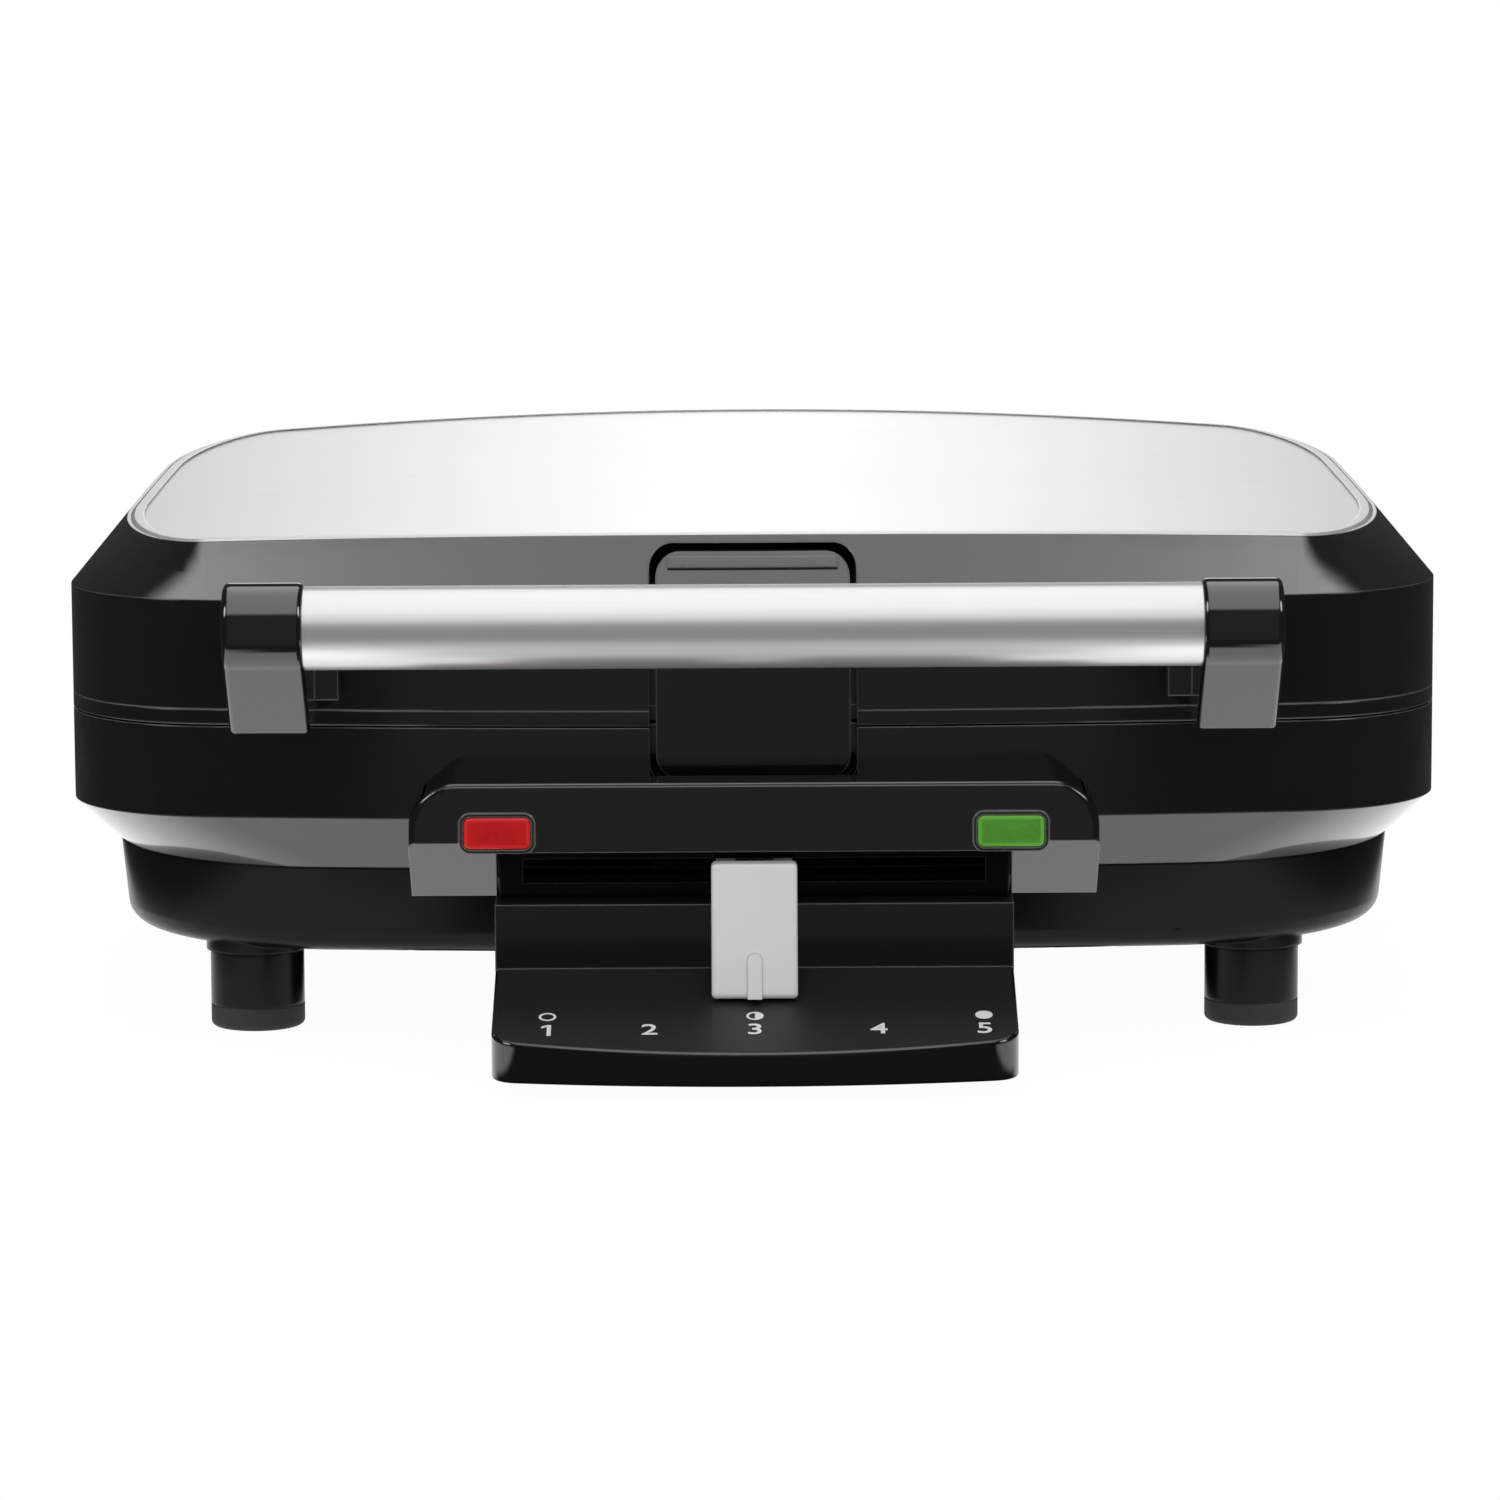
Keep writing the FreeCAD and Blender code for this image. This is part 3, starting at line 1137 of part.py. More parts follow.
def tooth_half(height):
    """Half the thickness of a rack tooth at a height above its pitch line."""
    slope = math.tan(math.radians(PRESSURE_ANGLE))
    return tooth_pitch / 4 - TOOTH_BACKLASH / 2 - height * slope


def rack():
    """Toothed bar long enough for the slider's whole travel."""
    teeth = 2 * math.ceil((slide_travel + RACK_SPARE) / tooth_pitch) + 1
    root = -GEAR_MODULE * TOOTH_ROOT
    tip = GEAR_MODULE * TOOTH_TOP
    first = -(teeth - 1) / 2 * tooth_pitch
    end = first - tooth_pitch / 2
    points = [(end, RACK_IN), (end, rack_line + root)]
    for i in range(teeth):
        x = first + i * tooth_pitch
        points += [
            (x - tooth_half(root), rack_line + root), (x - tooth_half(tip), rack_line + tip),
            (x + tooth_half(tip), rack_line + tip), (x + tooth_half(root), rack_line + root),
        ]
    points += [(-end, rack_line + root), (-end, RACK_IN)]
    corners = [Vector(x, y, neck_z) for x, y in points]
    return Part.Face(Part.makePolygon(corners + corners[:1])).extrude(Vector(0, 0, NECK_HEIGHT))


def pinion_half_angle(radius):
    """Half the angle of a pinion tooth at a radius, from its involute."""
    pressure = math.radians(PRESSURE_ANGLE)
    base = pinion_radius * math.cos(pressure)
    local = math.acos(min(1.0, base / radius))
    middle = (tooth_pitch / 2 - TOOTH_BACKLASH) / (2 * pinion_radius)
    return middle + (math.tan(pressure) - pressure) - (math.tan(local) - local)


def make_thermostat():
    centre = Vector(0, spindle_y, 0)
    half_w = THERMOSTAT_WIDTH / 2
    rear = probe_y + PROBE_RADIUS + THERMOSTAT_MARGIN
    body = box(-half_w, half_w, spindle_y - THERMOSTAT_FRONT, rear, pan_floor_z, thermostat_top_z)
    bore_z = thermostat_top_z - SPINDLE_BORE_DEPTH
    bore = rod((0, spindle_y, bore_z), (0, 0, 1), SPINDLE_RADIUS + RUNNING_FIT, SPINDLE_BORE_DEPTH)
    save("thermostat_body", body.cut(bore))
    probe = rod((0, probe_y, thermostat_top_z), (0, 0, 1), PROBE_RADIUS, tub_z - thermostat_top_z)
    save("thermostat_probe", probe)
    pinion_low = neck_z + SLIDE_CLEARANCE / 2
    pinion_height = NECK_HEIGHT - SLIDE_CLEARANCE
    root = pinion_radius - GEAR_MODULE * TOOTH_ROOT
    tip = pinion_radius + GEAR_MODULE * TOOTH_TOP
    points = []
    for i in range(PINION_TEETH):
        middle = 2 * math.pi * (i + 0.5) / PINION_TEETH - math.pi / 2
        flank = ((root, -1), (tip, -1), (tip, 1), (root, 1))
        for radius, s in flank:
            angle = middle + s * pinion_half_angle(radius)
            points.append(centre + Vector(radius * math.cos(angle), radius * math.sin(angle), pinion_low))
    gear = Part.Face(Part.makePolygon(points + points[:1])).extrude(Vector(0, 0, pinion_height))
    hole = rod((0, spindle_y, pinion_low), (0, 0, 1), SPINDLE_RADIUS + PIN_FIT, pinion_height)
    save("thermostat_pinion", gear.cut(hole))
    shaft_low = bore_z + SNUG
    shaft_top = pinion_low + pinion_height + SPINDLE_TIP
    shaft = rod((0, spindle_y, shaft_low), (0, 0, 1), SPINDLE_RADIUS, shaft_top - shaft_low)
    collar_low = thermostat_top_z + SNUG
    collar = rod((0, spindle_y, collar_low), (0, 0, 1), SPINDLE_COLLAR, pinion_low - collar_low)
    save("thermostat_spindle", shaft.fuse(collar).removeSplitter())


def make_electrics():
    rear = back_y(PAN_PLAN, GLAND_X)
    start = rear - WALL - GLAND_INSIDE
    end = back_y(LOWER_PLAN, GLAND_X) + GLAND_FLANGE
    sleeve = rod((GLAND_X, start, gland_z), (0, 1, 0), GLAND_RADIUS, end - start)
    flange = rod((GLAND_X, rear - WALL, gland_z), (0, 1, 0), GLAND_FLANGE_RADIUS, end - rear + WALL)
    flange = flange.cut(pan_outer)
    bore = rod((GLAND_X, start, gland_z), (0, 1, 0), GLAND_BORE, end - start)
    save("cord_gland", sleeve.fuse(flange).cut(bore).removeSplitter())
    block_rear = start - TERMINAL_OFF_WALL
    block_front = block_rear - TERMINAL_DEPTH
    left = GLAND_X - TERMINAL_WIDTH / 2
    block = box(
        left, left + TERMINAL_WIDTH, block_front, block_rear, pan_floor_z, pan_floor_z + TERMINAL_HEIGHT
    )
    pitch = TERMINAL_WIDTH / TERMINAL_WAYS
    way_z = pan_floor_z + TERMINAL_HEIGHT / 2
    ways = [
        rod((left + (i + 0.5) * pitch, block_front, way_z), (0, 1, 0), TERMINAL_HOLE, TERMINAL_DEPTH)
        for i in range(TERMINAL_WAYS)
    ]
    save("terminal_block", block.cut(ways))


os.makedirs("parts", exist_ok=True)
make_feet()
make_base_pan()
make_base_housing()
make_base_screws()
make_plates()
make_lid_frame()
make_lid_shell()
make_top_panel()
make_handle()
make_latch()
make_hinges()
make_control_pod()
make_indicators()
make_control_tray()
make_slider()
make_thermostat()
make_electrics()
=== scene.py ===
import json
import math
import bpy
from mathutils import Matrix, Vector


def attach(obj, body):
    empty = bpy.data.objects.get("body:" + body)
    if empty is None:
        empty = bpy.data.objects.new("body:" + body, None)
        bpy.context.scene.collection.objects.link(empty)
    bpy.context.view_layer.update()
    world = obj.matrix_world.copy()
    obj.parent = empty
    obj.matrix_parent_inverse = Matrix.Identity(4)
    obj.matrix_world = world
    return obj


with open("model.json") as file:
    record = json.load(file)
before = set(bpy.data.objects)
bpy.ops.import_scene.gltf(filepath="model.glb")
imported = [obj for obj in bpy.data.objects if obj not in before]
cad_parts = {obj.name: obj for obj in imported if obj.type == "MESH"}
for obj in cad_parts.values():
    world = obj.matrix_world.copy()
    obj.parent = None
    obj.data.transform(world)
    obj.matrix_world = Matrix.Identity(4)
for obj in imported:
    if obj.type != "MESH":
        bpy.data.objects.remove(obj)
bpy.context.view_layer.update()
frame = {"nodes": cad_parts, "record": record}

nodes = frame["nodes"]

# Where the camera stood, in metres and degrees. The frame is 1500 by 1500 pixels.
CAMERA_PLACE = (-0.0012, -1.47525, 0.2628)
CAMERA_PITCH = 8.395
CAMERA_YAW = 0.02
CAMERA_ROLL = 0.30
FOCAL_PIXELS = 6433.0
FRAME_PIXELS = 1500.0
SENSOR = 36.0

# Lamp covers: the middle of each, and where its painted edge highlight starts and ends, across and upward
LENS_X = 0.0536
LENS_Z = 0.0501
LENS_SIDE_HIGHLIGHT = (0.0058, 0.0064)
LENS_LONG_HIGHLIGHT = (0.00225, 0.00275)

# The pod's recess, where a dark diffuse paints shade: its half width, foot, top and soft border, the painted
# shade's tone and how much of it covers the moulding
RECESS_HALF = 0.0535
RECESS_FOOT_Z = 0.0325
RECESS_TOP_Z = 0.0455
RECESS_SOFT = 0.0005
RECESS_PAINTED_SHADE_TONE = (0.0015, 0.0015, 0.0015, 1.0)
RECESS_PAINTED_SHADE_SHARE = 0.85

# How the edges of mouldings are rounded and where they get a painted highlight: rays for each edge, and
# turns that count as sharp
EDGE_SAMPLES = 6
SHARP_TURN = (0.93, 0.76)
TOP_FACE = (0.85, 0.94)
COAT_ROUGHNESS = 0.04
COAT_IOR = 1.6


class Shade:
    """A socket in a material's nodes. Arithmetic on shades adds Math nodes."""

    def __init__(self, tree, socket=None):
        self.tree = tree
        self.socket = socket

    def node(self, kind, settings=None, inputs=None, output=0):
        """Adds a node: its settings first, then its sockets' values or links."""
        added = self.tree.nodes.new("ShaderNode" + kind)
        for name, value in (settings or {}).items():
            setattr(added, name, value)
        for name, value in (inputs or {}).items():
            if isinstance(value, Shade):
                self.tree.links.new(value.socket, added.inputs[name])
            else:
                added.inputs[name].default_value = value
        return Shade(self.tree, added.outputs[output] if added.outputs else None)

    def maths(self, operation, first, second):
        return self.node("Math", {"operation": operation}, {0: first, 1: second})

    def __add__(self, other):
        return self.maths("ADD", self, other)

    def __radd__(self, other):
        return self.maths("ADD", other, self)

    def __sub__(self, other):
        return self.maths("SUBTRACT", self, other)

    def __rsub__(self, other):
        return self.maths("SUBTRACT", other, self)

    def __mul__(self, other):
        return self.maths("MULTIPLY", self, other)

    def __rmul__(self, other):
        return self.maths("MULTIPLY", other, self)

    def __abs__(self):
        return self.maths("ABSOLUTE", self, 0.0)

    def fade(self, start, end):
        """Smooth step from 0 at one value to 1 at another."""
        inputs = {"Value": self, "From Min": start, "From Max": end}
        return self.node("MapRange", {"interpolation_type": "SMOOTHSTEP"}, inputs)

    def larger(self, other):
        return self.maths("MAXIMUM", self, other)

    def blend(self, low, high):
        """Colour between two colours, by this shade."""
        ends = [end if isinstance(end, Shade) else (*end, 1.0) for end in (low, high)]
        return self.node("Mix", {"data_type": "RGBA"}, {"Factor": self, 6: ends[0], 7: ends[1]}, 2)


def new_material(name):
    """An empty material and a shade to start its nodes from."""
    material = bpy.data.materials.new(name)
    material.use_nodes = True
    material.node_tree.nodes.clear()
    return material, Shade(material.node_tree)


def finish_material(start, surface):
    start.node("OutputMaterial", None, {"Surface": surface})


def object_noise(start, scale, stretch=(1.0, 1.0, 1.0), detail=3.0):
    """Noise fixed to the object, stretched along its axes. Scale is in waves per metre."""
    place = start.node("TexCoord", None, None, 3)
    place = start.node("Mapping", {"vector_type": "POINT"}, {"Vector": place, "Scale": stretch})
    inputs = {"Vector": place, "Scale": scale, "Detail": detail, "Roughness": 0.55}
    return start.node("TexNoise", None, inputs)


def bump(start, height, distance, strength=1.0, edge=0.0):
    """Normal from a height field, over edges rounded by a small radius."""
    inputs = {"Height": height, "Distance": distance, "Strength": strength}
    if edge:
        inputs["Normal"] = start.node("Bevel", {"samples": EDGE_SAMPLES}, {"Radius": edge})
    return start.node("Bump", None, inputs)


def outputs_of(start, kind, *names):
    """The named outputs of a new node, each as a shade."""
    found = start.node(kind).socket.node.outputs
    return [Shade(start.tree, found[name]) for name in names]


def axes_of(start, vector):
    """A vector's three parts."""
    found = start.node("SeparateXYZ", None, {0: vector}).socket.node.outputs
    return [Shade(start.tree, part) for part in found]


def place_of(start):
    """x, y and z of the point that is shaded, in metres."""
    return axes_of(start, outputs_of(start, "NewGeometry", "Position")[0])


def plastic(
    name, low, high, gloss, mottle, edge, coat,
    grain=900.0, depth=0.00001, ior=1.5, dull_top=0.0, edge_highlight_paint=0.0, recess=False,
):
    """Moulded plastic: faint colour and gloss mottling, a fine skin and softened edges.
    Faces that look up are duller by dull_top; a painted highlight makes sharp edges paler, and painted shade
    from a dark diffuse covers the pod's recess."""
    material, start = new_material(name)
    cloud = object_noise(start, 45.0)
    skin = object_noise(start, grain, detail=4.0)
    rough = gloss + cloud * mottle
    tone = cloud.blend(low, high)
    facing = outputs_of(start, "NewGeometry", "Normal")[0]
    if dull_top:
        top = axes_of(start, facing)[2].fade(*TOP_FACE)
        rough = rough + top * dull_top
        coat = (1.0 - top) * coat
    if edge_highlight_paint:
        # Painted highlight: sharp edges are painted paler, standing in for light caught on rounded edges
        rounded = start.node("Bevel", {"samples": EDGE_SAMPLES}, {"Radius": edge})
        turn = start.node("VectorMath", {"operation": "DOT_PRODUCT"}, {0: rounded, 1: facing}, "Value")
        tone = turn.fade(*SHARP_TURN).blend(tone, (edge_highlight_paint, edge_highlight_paint, edge_highlight_paint))
    inputs = {
        "Base Color": tone,
        "Roughness": rough,
        "IOR": ior,
        "Coat Weight": coat,
        "Coat Roughness": COAT_ROUGHNESS,
        "Coat IOR": COAT_IOR,
        "Normal": bump(start, skin, depth, 0.3, edge),
    }
    surface = start.node("BsdfPrincipled", None, inputs)
    # Painted shade: a dark diffuse covers the pod's recess, standing in for the shade inside it
    if recess:
        x, y, z = place_of(start)
        across = abs(x).fade(RECESS_HALF + RECESS_SOFT, RECESS_HALF)
        above = z.fade(RECESS_FOOT_Z, RECESS_FOOT_Z + RECESS_SOFT)
        below = z.fade(RECESS_TOP_Z + RECESS_SOFT, RECESS_TOP_Z)
        dark = start.node("BsdfDiffuse", None, {"Color": RECESS_PAINTED_SHADE_TONE})
        cover = across * above * below * RECESS_PAINTED_SHADE_SHARE
        surface = start.node("MixShader", None, {0: cover, 1: surface, 2: dark})
    finish_material(start, surface)
    return material


def metal(name, low, high, gloss, spread, grain, stretch, depth, edge, bare=1.0):
    """Metal with fine lines or grains that vary its tone, gloss and surface.
    A bare share under 1 gives the milky look of an anodised or sprayed skin."""
    material, start = new_material(name)
    lines = object_noise(start, grain, stretch, 5.0)
    cloud = object_noise(start, 22.0)
    inputs = {
        "Base Color": lines.blend(low, high),
        "Metallic": bare,
        "Roughness": gloss + lines * spread + cloud * (spread * 0.5),
        "Normal": bump(start, lines, depth, 0.5, edge),
    }
    finish_material(start, start.node("BsdfPrincipled", None, inputs))
    return material


def lens(name, low, high, bright):
    """Tinted clear plastic with the small prisms of a lamp cover behind it, and a painted highlight that
    makes it brighter round its edges.
    """
    material, start = new_material(name)
    place = start.node("TexCoord", None, None, 3)
    cells = start.node("TexVoronoi", {"feature": "F1"}, {"Vector": place, "Scale": 1100.0})
    cloud = object_noise(start, 160.0)
    x, y, z = place_of(start)
    side_highlight = abs(abs(x) - LENS_X).fade(*LENS_SIDE_HIGHLIGHT)
    long_highlight = abs(z - LENS_Z).fade(*LENS_LONG_HIGHLIGHT)
    glow = (cloud * 0.8 + cells * 0.3).blend(low, high)
    inputs = {
        # Painted highlight: the cover's edges are painted in the brighter colour
        "Base Color": side_highlight.larger(long_highlight).blend(glow, bright),
        "Roughness": 0.08 + cloud * 0.06,
        "Subsurface Weight": 0.25,
        "Subsurface Radius": (0.004, 0.004, 0.004),
        "Coat Weight": 0.6,
        "Normal": bump(start, cells, 0.00008, 0.25, 0.0005),
    }
    finish_material(start, start.node("BsdfPrincipled", None, inputs))
    return material


finishes = {
    # The black mouldings get a painted highlight on their sharp edges
    "black_gloss": plastic(
        "gloss_black_moulding", (0.0052, 0.0052, 0.0055), (0.0072, 0.0072, 0.0076),
        0.09, 0.04, 0.0007, 1.0, ior=1.65, edge_highlight_paint=0.2,
    ),
    "rubber_feet": plastic(
        "grey_foot_rubber", (0.028, 0.028, 0.029), (0.045, 0.045, 0.046), 0.55, 0.15, 0.0008, 0.0,
        grain=2600.0, depth=0.00006,
    ),
    "rubber_gland": plastic(
        "black_gland_rubber", (0.012, 0.012, 0.012), (0.02, 0.02, 0.02), 0.5, 0.2, 0.0006, 0.0,
        grain=2600.0, depth=0.00005,
    ),
    "steel_panel": metal(
        "brushed_lid_steel", (0.76, 0.76, 0.765), (0.86, 0.86, 0.865), 0.2, 0.05,
        1800.0, (0.012, 1.0, 1.0), 0.000002, 0.0004, bare=0.5,
    ),
    "satin_aluminium": metal(
        "satin_tube_aluminium", (0.8, 0.8, 0.805), (0.9, 0.9, 0.905), 0.3, 0.06,
        1500.0, (0.02, 1.0, 1.0), 0.00001, 0.0003, bare=0.8,
    ),
    "silver_plastic": plastic(
        "silver_knob_plastic", (0.82, 0.82, 0.825), (0.9, 0.9, 0.905), 0.28, 0.08, 0.0007, 0.3,
        grain=3200.0,
    ),
    "white_plastic": plastic(
        "white_pointer_plastic", (0.82, 0.82, 0.82), (0.9, 0.9, 0.9), 0.25, 0.08, 0.0003, 0.2,
    ),
    # The last colour of each lamp cover is its painted edge highlight
    "red_lens": lens("red_lamp_cover", (0.5, 0.003, 0.005), (0.8, 0.012, 0.014), (0.85, 0.028, 0.03)),
    "green_lens": lens("green_lamp_cover", (0.06, 0.27, 0.022), (0.13, 0.44, 0.048), (0.16, 0.54, 0.06)),
    "lamp_glass": plastic(
        "lamp_bulb_glass", (0.75, 0.72, 0.68), (0.85, 0.83, 0.8), 0.05, 0.03, 0.0003, 0.5,
    ),
    "nonstick_plate": plastic(
        "nonstick_plate_coat", (0.024, 0.024, 0.025), (0.042, 0.042, 0.043), 0.3, 0.12, 0.0009, 0.1,
        grain=3800.0, depth=0.00004,
    ),
    "element_sheath": metal(
        "heater_sheath", (0.2, 0.19, 0.185), (0.34, 0.32, 0.31), 0.4, 0.2,
        900.0, (1.0, 1.0, 1.0), 0.00003, 0.0003,
    ),
    "aluminium_sheet": metal(
        "reflector_sheet", (0.76, 0.76, 0.77), (0.86, 0.86, 0.87), 0.2, 0.1,
        700.0, (1.0, 0.05, 1.0), 0.00002, 0.0003,
    ),
    "zinc_steel": metal(
        "zinc_plated_steel", (0.46, 0.46, 0.48), (0.62, 0.62, 0.64), 0.28, 0.14,
        1600.0, (1.0, 1.0, 1.0), 0.00002, 0.0003,
    ),
    "grey_nylon": plastic(
        "grey_gear_nylon", (0.24, 0.24, 0.25), (0.32, 0.32, 0.33), 0.45, 0.1, 0.0003, 0.0,
    ),
    "brown_phenolic": plastic(
        "brown_thermostat_moulding", (0.07, 0.035, 0.02), (0.12, 0.06, 0.035), 0.4, 0.1, 0.0005, 0.0,
    ),
    "brass": metal(
        "turned_brass", (0.62, 0.44, 0.2), (0.76, 0.56, 0.28), 0.2, 0.1,
        1800.0, (1.0, 1.0, 0.05), 0.00001, 0.0003,
    ),
    "white_block": plastic(
        "white_terminal_moulding", (0.72, 0.72, 0.7), (0.8, 0.8, 0.78), 0.4, 0.1, 0.0004, 0.0,
    ),
}

# Pieces moulded in the same black with another skin
satin_pan = plastic(
    "satin_black_pan", (0.0028, 0.0028, 0.003), (0.0045, 0.0045, 0.0048),
    0.2, 0.08, 0.0008, 0.0, grain=1800.0, depth=0.00002, ior=1.3,
)
# The tray's sharp edges get a painted highlight too
dull_tray = plastic(
    "tray_black_moulding", (0.0028, 0.0028, 0.003), (0.0045, 0.0045, 0.0048),
    0.09, 0.04, 0.0007, 1.0, ior=1.6, dull_top=0.4, edge_highlight_paint=0.2,
)
# The pod carries painted shade in its recess and a stronger painted highlight on its sharp edges
pod_with_painted_shade = plastic(
    "pod_black_moulding_painted_shade", (0.0052, 0.0052, 0.0055), (0.0072, 0.0072, 0.0076),
    0.09, 0.04, 0.0007, 1.0, ior=1.65, edge_highlight_paint=0.35, recess=True,
)
own_finish = {"base_pan": satin_pan, "control_tray": dull_tray, "control_pod": pod_with_painted_shade}
for corner in ("front_left", "front_right", "rear_left", "rear_right"):
    own_finish["foot_post_" + corner] = satin_pan

for part in frame["record"]["subparts"]:
    piece = nodes[part["node"]]
    if not piece.material_slots:
        piece.data.materials.append(None)
    for entry in piece.material_slots:
        entry.material = own_finish.get(part["node"], finishes[part["material_slot"]])

# Printed scale on the tray's sloping floor
TRAY_SLOPE = math.radians(16.0)
TRAY_RISER_Y = -0.14925
TRAY_FLOOR_Z = 0.0210
PRINT_LIFT = 0.00006
PRINT_DEPTH = 0.00006
SCALE_X = (-0.0428, -0.0217, 0.0, 0.0255, 0.0472)
DIGIT_Y = -0.1768
DIGIT_SIZE = 0.0066
DIGIT_STRETCH = 1.12
DIGIT_WEIGHT = 0.00006
ONE_HEIGHT = 0.0048
ONE_STROKES = (
    ((0.0, -0.5), (0.18, -0.5), (0.18, 0.5), (0.0, 0.5)),
    ((0.0, 0.5), (-0.24, 0.36), (-0.24, 0.2), (0.0, 0.33)),
)
SIGN_Y = -0.1709
SIGN_RADIUS = 0.0018
SIGN_LINE = 0.0005
SIGN_STEPS = 48

print_ink, ink_start = new_material("white_print_ink")
ink_cloud = object_noise(ink_start, 600.0)
finish_material(ink_start, ink_start.node("BsdfPrincipled", None, {
    "Base Color": ink_cloud.blend((0.86, 0.86, 0.86), (0.95, 0.95, 0.95)),
    "Roughness": 0.35 + ink_cloud * 0.1,
}))


def on_tray(x, y):
    """Place and tilt of a print on the tray's floor."""
    z = TRAY_FLOOR_Z + (y - TRAY_RISER_Y) * math.tan(TRAY_SLOPE)
    up = Vector((0.0, -math.sin(TRAY_SLOPE), math.cos(TRAY_SLOPE)))
    place = Vector((x, y, z)) + up * PRINT_LIFT
    return Matrix.Translation(place) @ Matrix.Rotation(TRAY_SLOPE, 4, "X")


def keep_print(piece, matrix):
    bpy.context.scene.collection.objects.link(piece)
    piece.matrix_world = matrix
    piece.data.materials.append(print_ink)
    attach(piece, "base")


def print_mesh(name, faces):
    """Flat print from outlines, each a list of (x, y) points."""
    points = []
    polygons = []
    for outline in faces:
        polygons.append(range(len(points), len(points) + len(outline)))
        points += [(x, y, 0.0) for x, y in outline]
    mesh = bpy.data.meshes.new(name)
    mesh.from_pydata(points, [], polygons)
    mesh.update()
    piece = bpy.data.objects.new(name, mesh)
    thick = piece.modifiers.new("thickness", "SOLIDIFY")
    thick.thickness = PRINT_DEPTH
    thick.offset = 1.0
    return piece


def arc(radius, start, end):
    steps = [start + (end - start) * i / SIGN_STEPS for i in range(SIGN_STEPS + 1)]
    return [(radius * math.cos(a), radius * math.sin(a)) for a in steps]


def sign(name, x, filled_from, filled_to):
    """Circle that shows how dark the waffle comes out."""
    outer = arc(SIGN_RADIUS, 0.0, 2 * math.pi)
    inner = arc(SIGN_RADIUS - SIGN_LINE, 0.0, 2 * math.pi)
    faces = [
        [outer[i], outer[i + 1], inner[i + 1], inner[i]] for i in range(SIGN_STEPS)
    ]
    if filled_to > filled_from:
        faces.append(arc(SIGN_RADIUS - SIGN_LINE, filled_from, filled_to))
    keep_print(print_mesh(name, faces), on_tray(x, SIGN_Y))


strokes = [[(x * ONE_HEIGHT, y * ONE_HEIGHT) for x, y in stroke] for stroke in ONE_STROKES]
keep_print(print_mesh("scale_digit_1", strokes), on_tray(SCALE_X[0], DIGIT_Y))
for step in range(2, 6):
    text = bpy.data.curves.new("scale_digit_%d" % step, "FONT")
    text.body = str(step)
    text.align_x = "CENTER"
    text.align_y = "CENTER"
    text.size = DIGIT_SIZE
    text.offset = DIGIT_WEIGHT
    text.extrude = PRINT_DEPTH / 2
    widen = Matrix.Diagonal((DIGIT_STRETCH, 1.0, 1.0, 1.0))
    keep_print(bpy.data.objects.new(text.name, text), on_tray(SCALE_X[step - 1], DIGIT_Y) @ widen)
sign("light_setting_sign", SCALE_X[0], 0.0, 0.0)
sign("medium_setting_sign", SCALE_X[2], -math.pi / 2, math.pi / 2)
sign("dark_setting_sign", SCALE_X[4], 0.0, 2 * math.pi)


# Table top, light and camera
TABLE_HALF = 0.45
TABLE_FRONT = -0.30
TABLE_REAR = 0.26
TABLE_TONE = (0.85, 0.85, 0.85, 1.0)
TABLE_WHITE = 1.03
SHADOW_HIDDEN = 0.94

# Where reflections see the table white, each as the two ends of a soft step in metres
BEFORE_FRONT = (-0.180, -0.166)
BEFORE_REAR = (-0.096, -0.108)
BESIDE_IN = (0.106, 0.120)
BESIDE_FRONT = (-0.26, -0.24)
TRAY_SIDE_IN = (0.072, 0.084)
TRAY_SIDE_OUT = (0.128, 0.116)
TRAY_SIDE_FRONT = (-0.235, -0.225)
WHITE_OUT = (0.205, 0.190)

# The room in reflections: soft steps over the parts of a direction, and levels where white is 1
OVERHEAD_RISE = (0.62, 0.74)
OVERHEAD_SIDE = (0.32, 0.20)
OVERHEAD_LEVEL = 1.2
WALL_BACK = (0.6, 0.9)
WALL_FOOT = (0.005, 0.04)
WALL_TOP = (0.38, 0.28)
WALL_SIDES = (((0.11, 0.0), 0.6), ((0.18, 0.08), 0.55), ((0.19, 0.14), 0.25))
CARD_FRONT = (-0.5, -0.9)
CARD_SIDE = (0.215, 0.185)
CARD_LEVEL = 0.06
SIDE_LAMP = (0.66, -0.38, 0.64)
SIDE_LAMP_EDGE = (0.965, 0.985)
SIDE_LAMP_LEVEL = 5.0
ROOM_LEVEL = 0.035
SOFT_LIGHT = 0.75


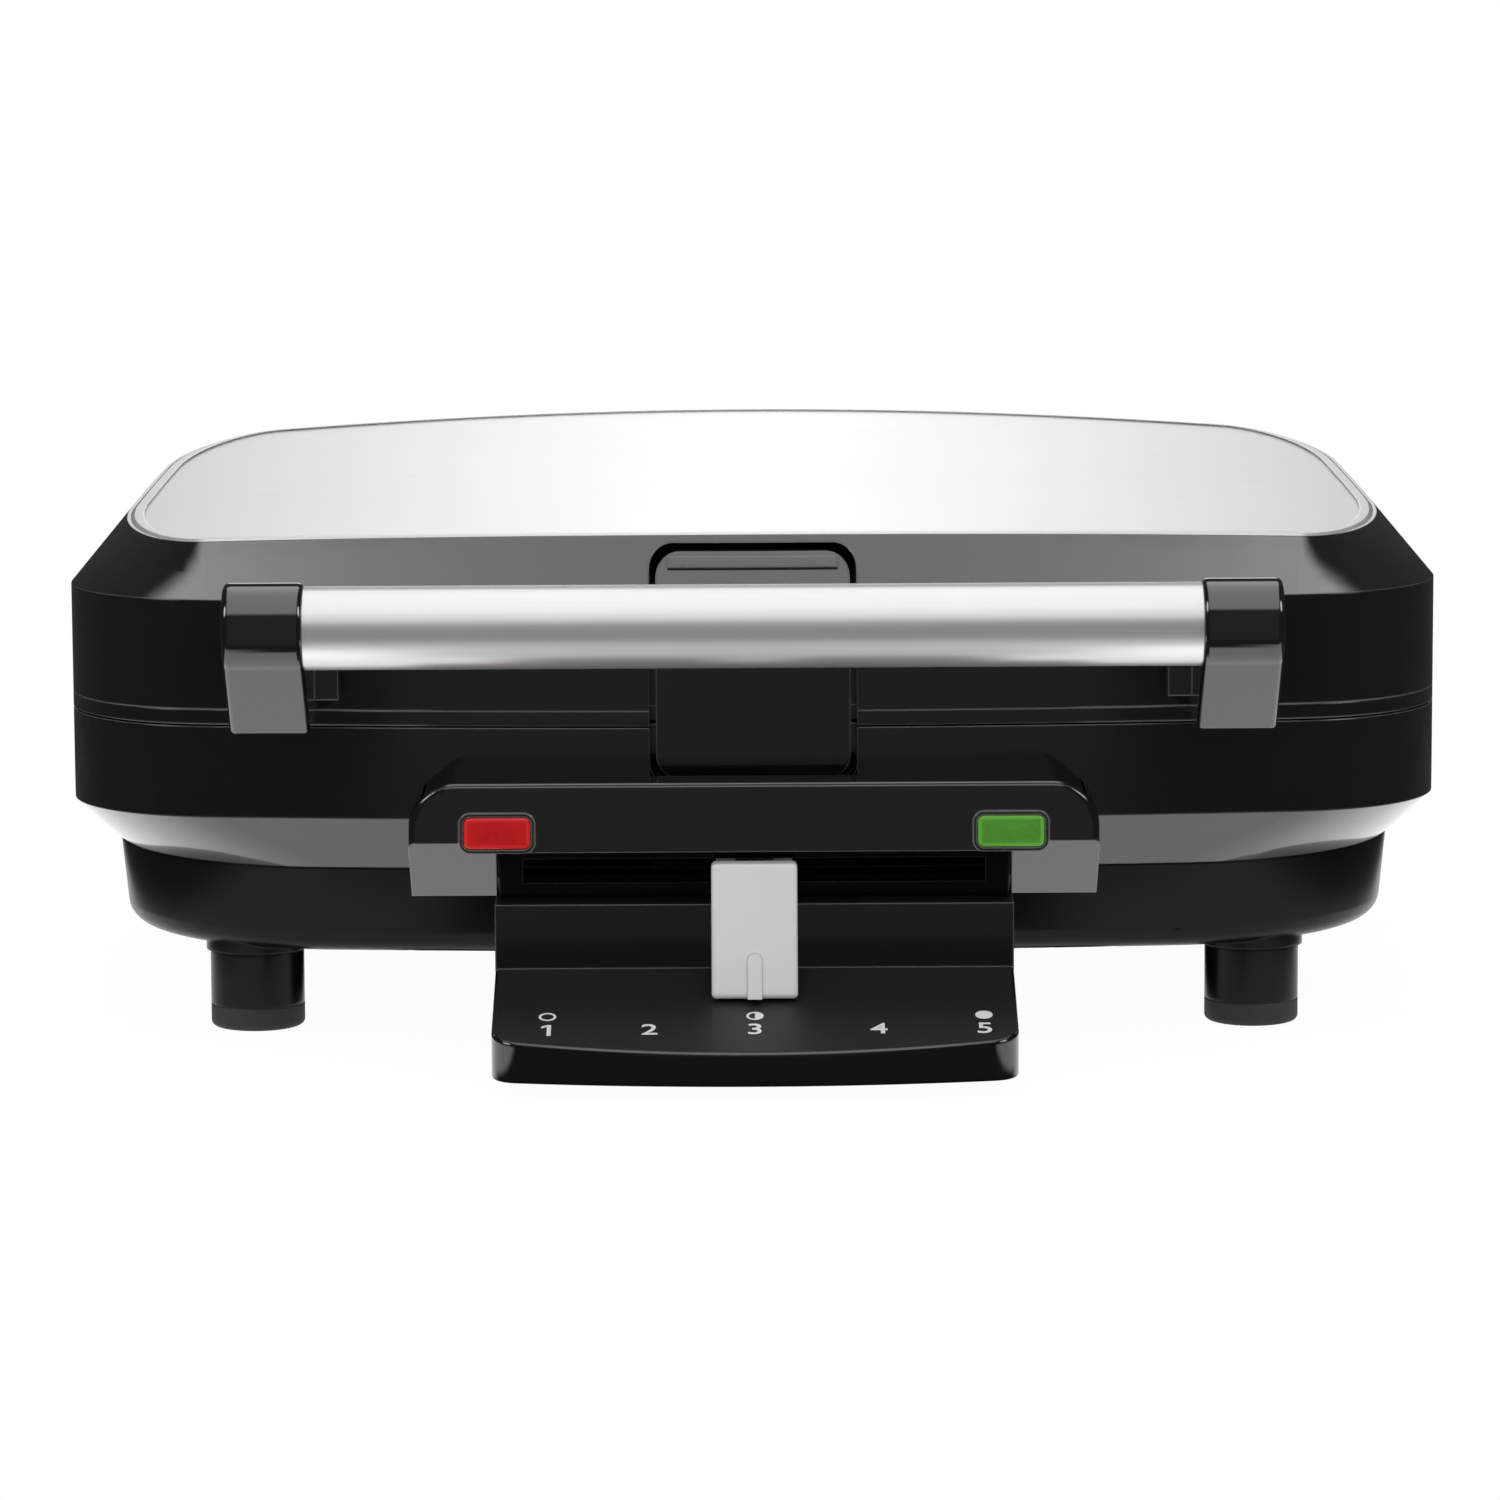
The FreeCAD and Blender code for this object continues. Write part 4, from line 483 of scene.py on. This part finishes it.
def make_table():
    """Pale table, white to the camera but for a faint shadow. In reflections it is white close to the
    part and dark where the black cards in front of the part would stand."""
    material, start = new_material("pale_table_top")
    camera_ray, glossy_ray, clear_ray = outputs_of(
        start, "LightPath", "Is Camera Ray", "Is Glossy Ray", "Is Transmission Ray")
    x, y, z = place_of(start)
    side = abs(x)
    before = y.fade(*BEFORE_FRONT) * y.fade(*BEFORE_REAR)
    beside = side.fade(*BESIDE_IN) * y.fade(*BESIDE_FRONT)
    by_tray = side.fade(*TRAY_SIDE_IN) * side.fade(*TRAY_SIDE_OUT) * y.fade(*TRAY_SIDE_FRONT)
    open_table = before.larger(beside).larger(by_tray) * side.fade(*WHITE_OUT)
    seen = start.maths("MINIMUM", camera_ray + glossy_ray + clear_ray, 1.0)
    lit = start.node("BsdfDiffuse", None, {"Color": TABLE_TONE})
    glow = (1.0 - glossy_ray) * TABLE_WHITE + glossy_ray * open_table
    white = start.node("Emission", None, {"Color": glow, "Strength": 1.0})
    finish_material(start, start.node("MixShader", None, {0: seen * SHADOW_HIDDEN, 1: lit, 2: white}))
    mesh = bpy.data.meshes.new("table_top")
    corners = [
        (-TABLE_HALF, TABLE_FRONT, 0.0), (TABLE_HALF, TABLE_FRONT, 0.0),
        (TABLE_HALF, TABLE_REAR, 0.0), (-TABLE_HALF, TABLE_REAR, 0.0),
    ]
    mesh.from_pydata(corners, [], [range(4)])
    mesh.materials.append(material)
    table = bpy.data.objects.new("table_top", mesh)
    bpy.context.scene.collection.objects.link(table)


def make_world():
    """White to the camera. Reflections see a studio: a soft light overhead, a bright wall behind,
    a dim grey card in front, a small lamp high on each side and dark elsewhere."""
    world = bpy.data.worlds.new("studio")
    world.use_nodes = True
    world.node_tree.nodes.clear()
    start = Shade(world.node_tree)
    camera_ray, glossy_ray = outputs_of(start, "LightPath", "Is Camera Ray", "Is Glossy Ray")
    x, y, z = axes_of(start, outputs_of(start, "TexCoord", "Generated")[0])
    side = abs(x)
    overhead = z.fade(*OVERHEAD_RISE) * side.fade(*OVERHEAD_SIDE) * OVERHEAD_LEVEL
    wall = 0.0
    for edge, share in WALL_SIDES:
        wall = wall + side.fade(*edge) * share
    behind = y.fade(*WALL_BACK) * z.fade(*WALL_FOOT) * z.fade(*WALL_TOP) * wall
    card = y.fade(*CARD_FRONT) * side.fade(*CARD_SIDE) * CARD_LEVEL
    toward_lamp = side * SIDE_LAMP[0] + y * SIDE_LAMP[1] + z * SIDE_LAMP[2]
    side_lamp = toward_lamp.fade(*SIDE_LAMP_EDGE) * SIDE_LAMP_LEVEL
    room = ROOM_LEVEL + overhead + behind + card + side_lamp
    level = camera_ray + (1.0 - camera_ray) * (glossy_ray * room + (1.0 - glossy_ray) * SOFT_LIGHT)
    light = start.node("Background", None, {"Color": level, "Strength": 1.0})
    start.node("OutputWorld", None, {"Surface": light})
    bpy.context.scene.world = world


def softbox(name, place, aim, width, height, radiance, only=None):
    """Area light with the same brightness over its face, in the units of a white of 1.
    It lights everything, or only one piece, which then also reflects it."""
    lamp = bpy.data.lights.new(name, "AREA")
    lamp.shape = "RECTANGLE"
    lamp.size = width
    lamp.size_y = height
    lamp.energy = radiance * math.pi * width * height
    holder = bpy.data.objects.new(name, lamp)
    holder.location = place
    holder.rotation_euler = (Vector(aim) - Vector(place)).to_track_quat("-Z", "Y").to_euler()
    holder.visible_camera = False
    holder.visible_glossy = only is not None
    bpy.context.scene.collection.objects.link(holder)
    if only:
        lit = bpy.data.collections.new(name)
        lit.objects.link(only)
        holder.light_linking.receiver_collection = lit


def make_camera():
    pitch = math.radians(CAMERA_PITCH)
    yaw = math.radians(CAMERA_YAW)
    roll = math.radians(CAMERA_ROLL)
    ahead = Vector((math.sin(yaw) * math.cos(pitch), math.cos(yaw) * math.cos(pitch), -math.sin(pitch)))
    level = ahead.cross(Vector((0.0, 0.0, 1.0))).normalized()
    above = level.cross(ahead)
    right = level * math.cos(roll) - above * math.sin(roll)
    up = above * math.cos(roll) + level * math.sin(roll)
    lens_data = bpy.data.cameras.new("photo_camera")
    lens_data.sensor_width = SENSOR
    lens_data.lens = FOCAL_PIXELS / FRAME_PIXELS * SENSOR
    lens_data.clip_start = 0.05
    camera = bpy.data.objects.new("photo_camera", lens_data)
    turn = Matrix((right, up, -ahead)).transposed().to_4x4()
    camera.matrix_world = Matrix.Translation(CAMERA_PLACE) @ turn
    bpy.context.scene.collection.objects.link(camera)
    bpy.context.scene.camera = camera


make_table()
make_world()
softbox("overhead_softbox", (0.0, -0.10, 1.15), (0.0, -0.10, 0.1), 0.62, 0.8, 1.3)
softbox("tube_low_strip", (0.0, -0.20, 0.03), (0.0, -0.165, 0.095), 0.3, 0.07, 0.42, nodes["handle_tube"])
softbox("tube_high_strip", (0.0, -0.56, 0.34), (0.0, -0.16, 0.0945), 0.7, 0.16, 0.8, nodes["handle_tube"])
make_camera()
bpy.context.scene.view_settings.view_transform = "Standard"
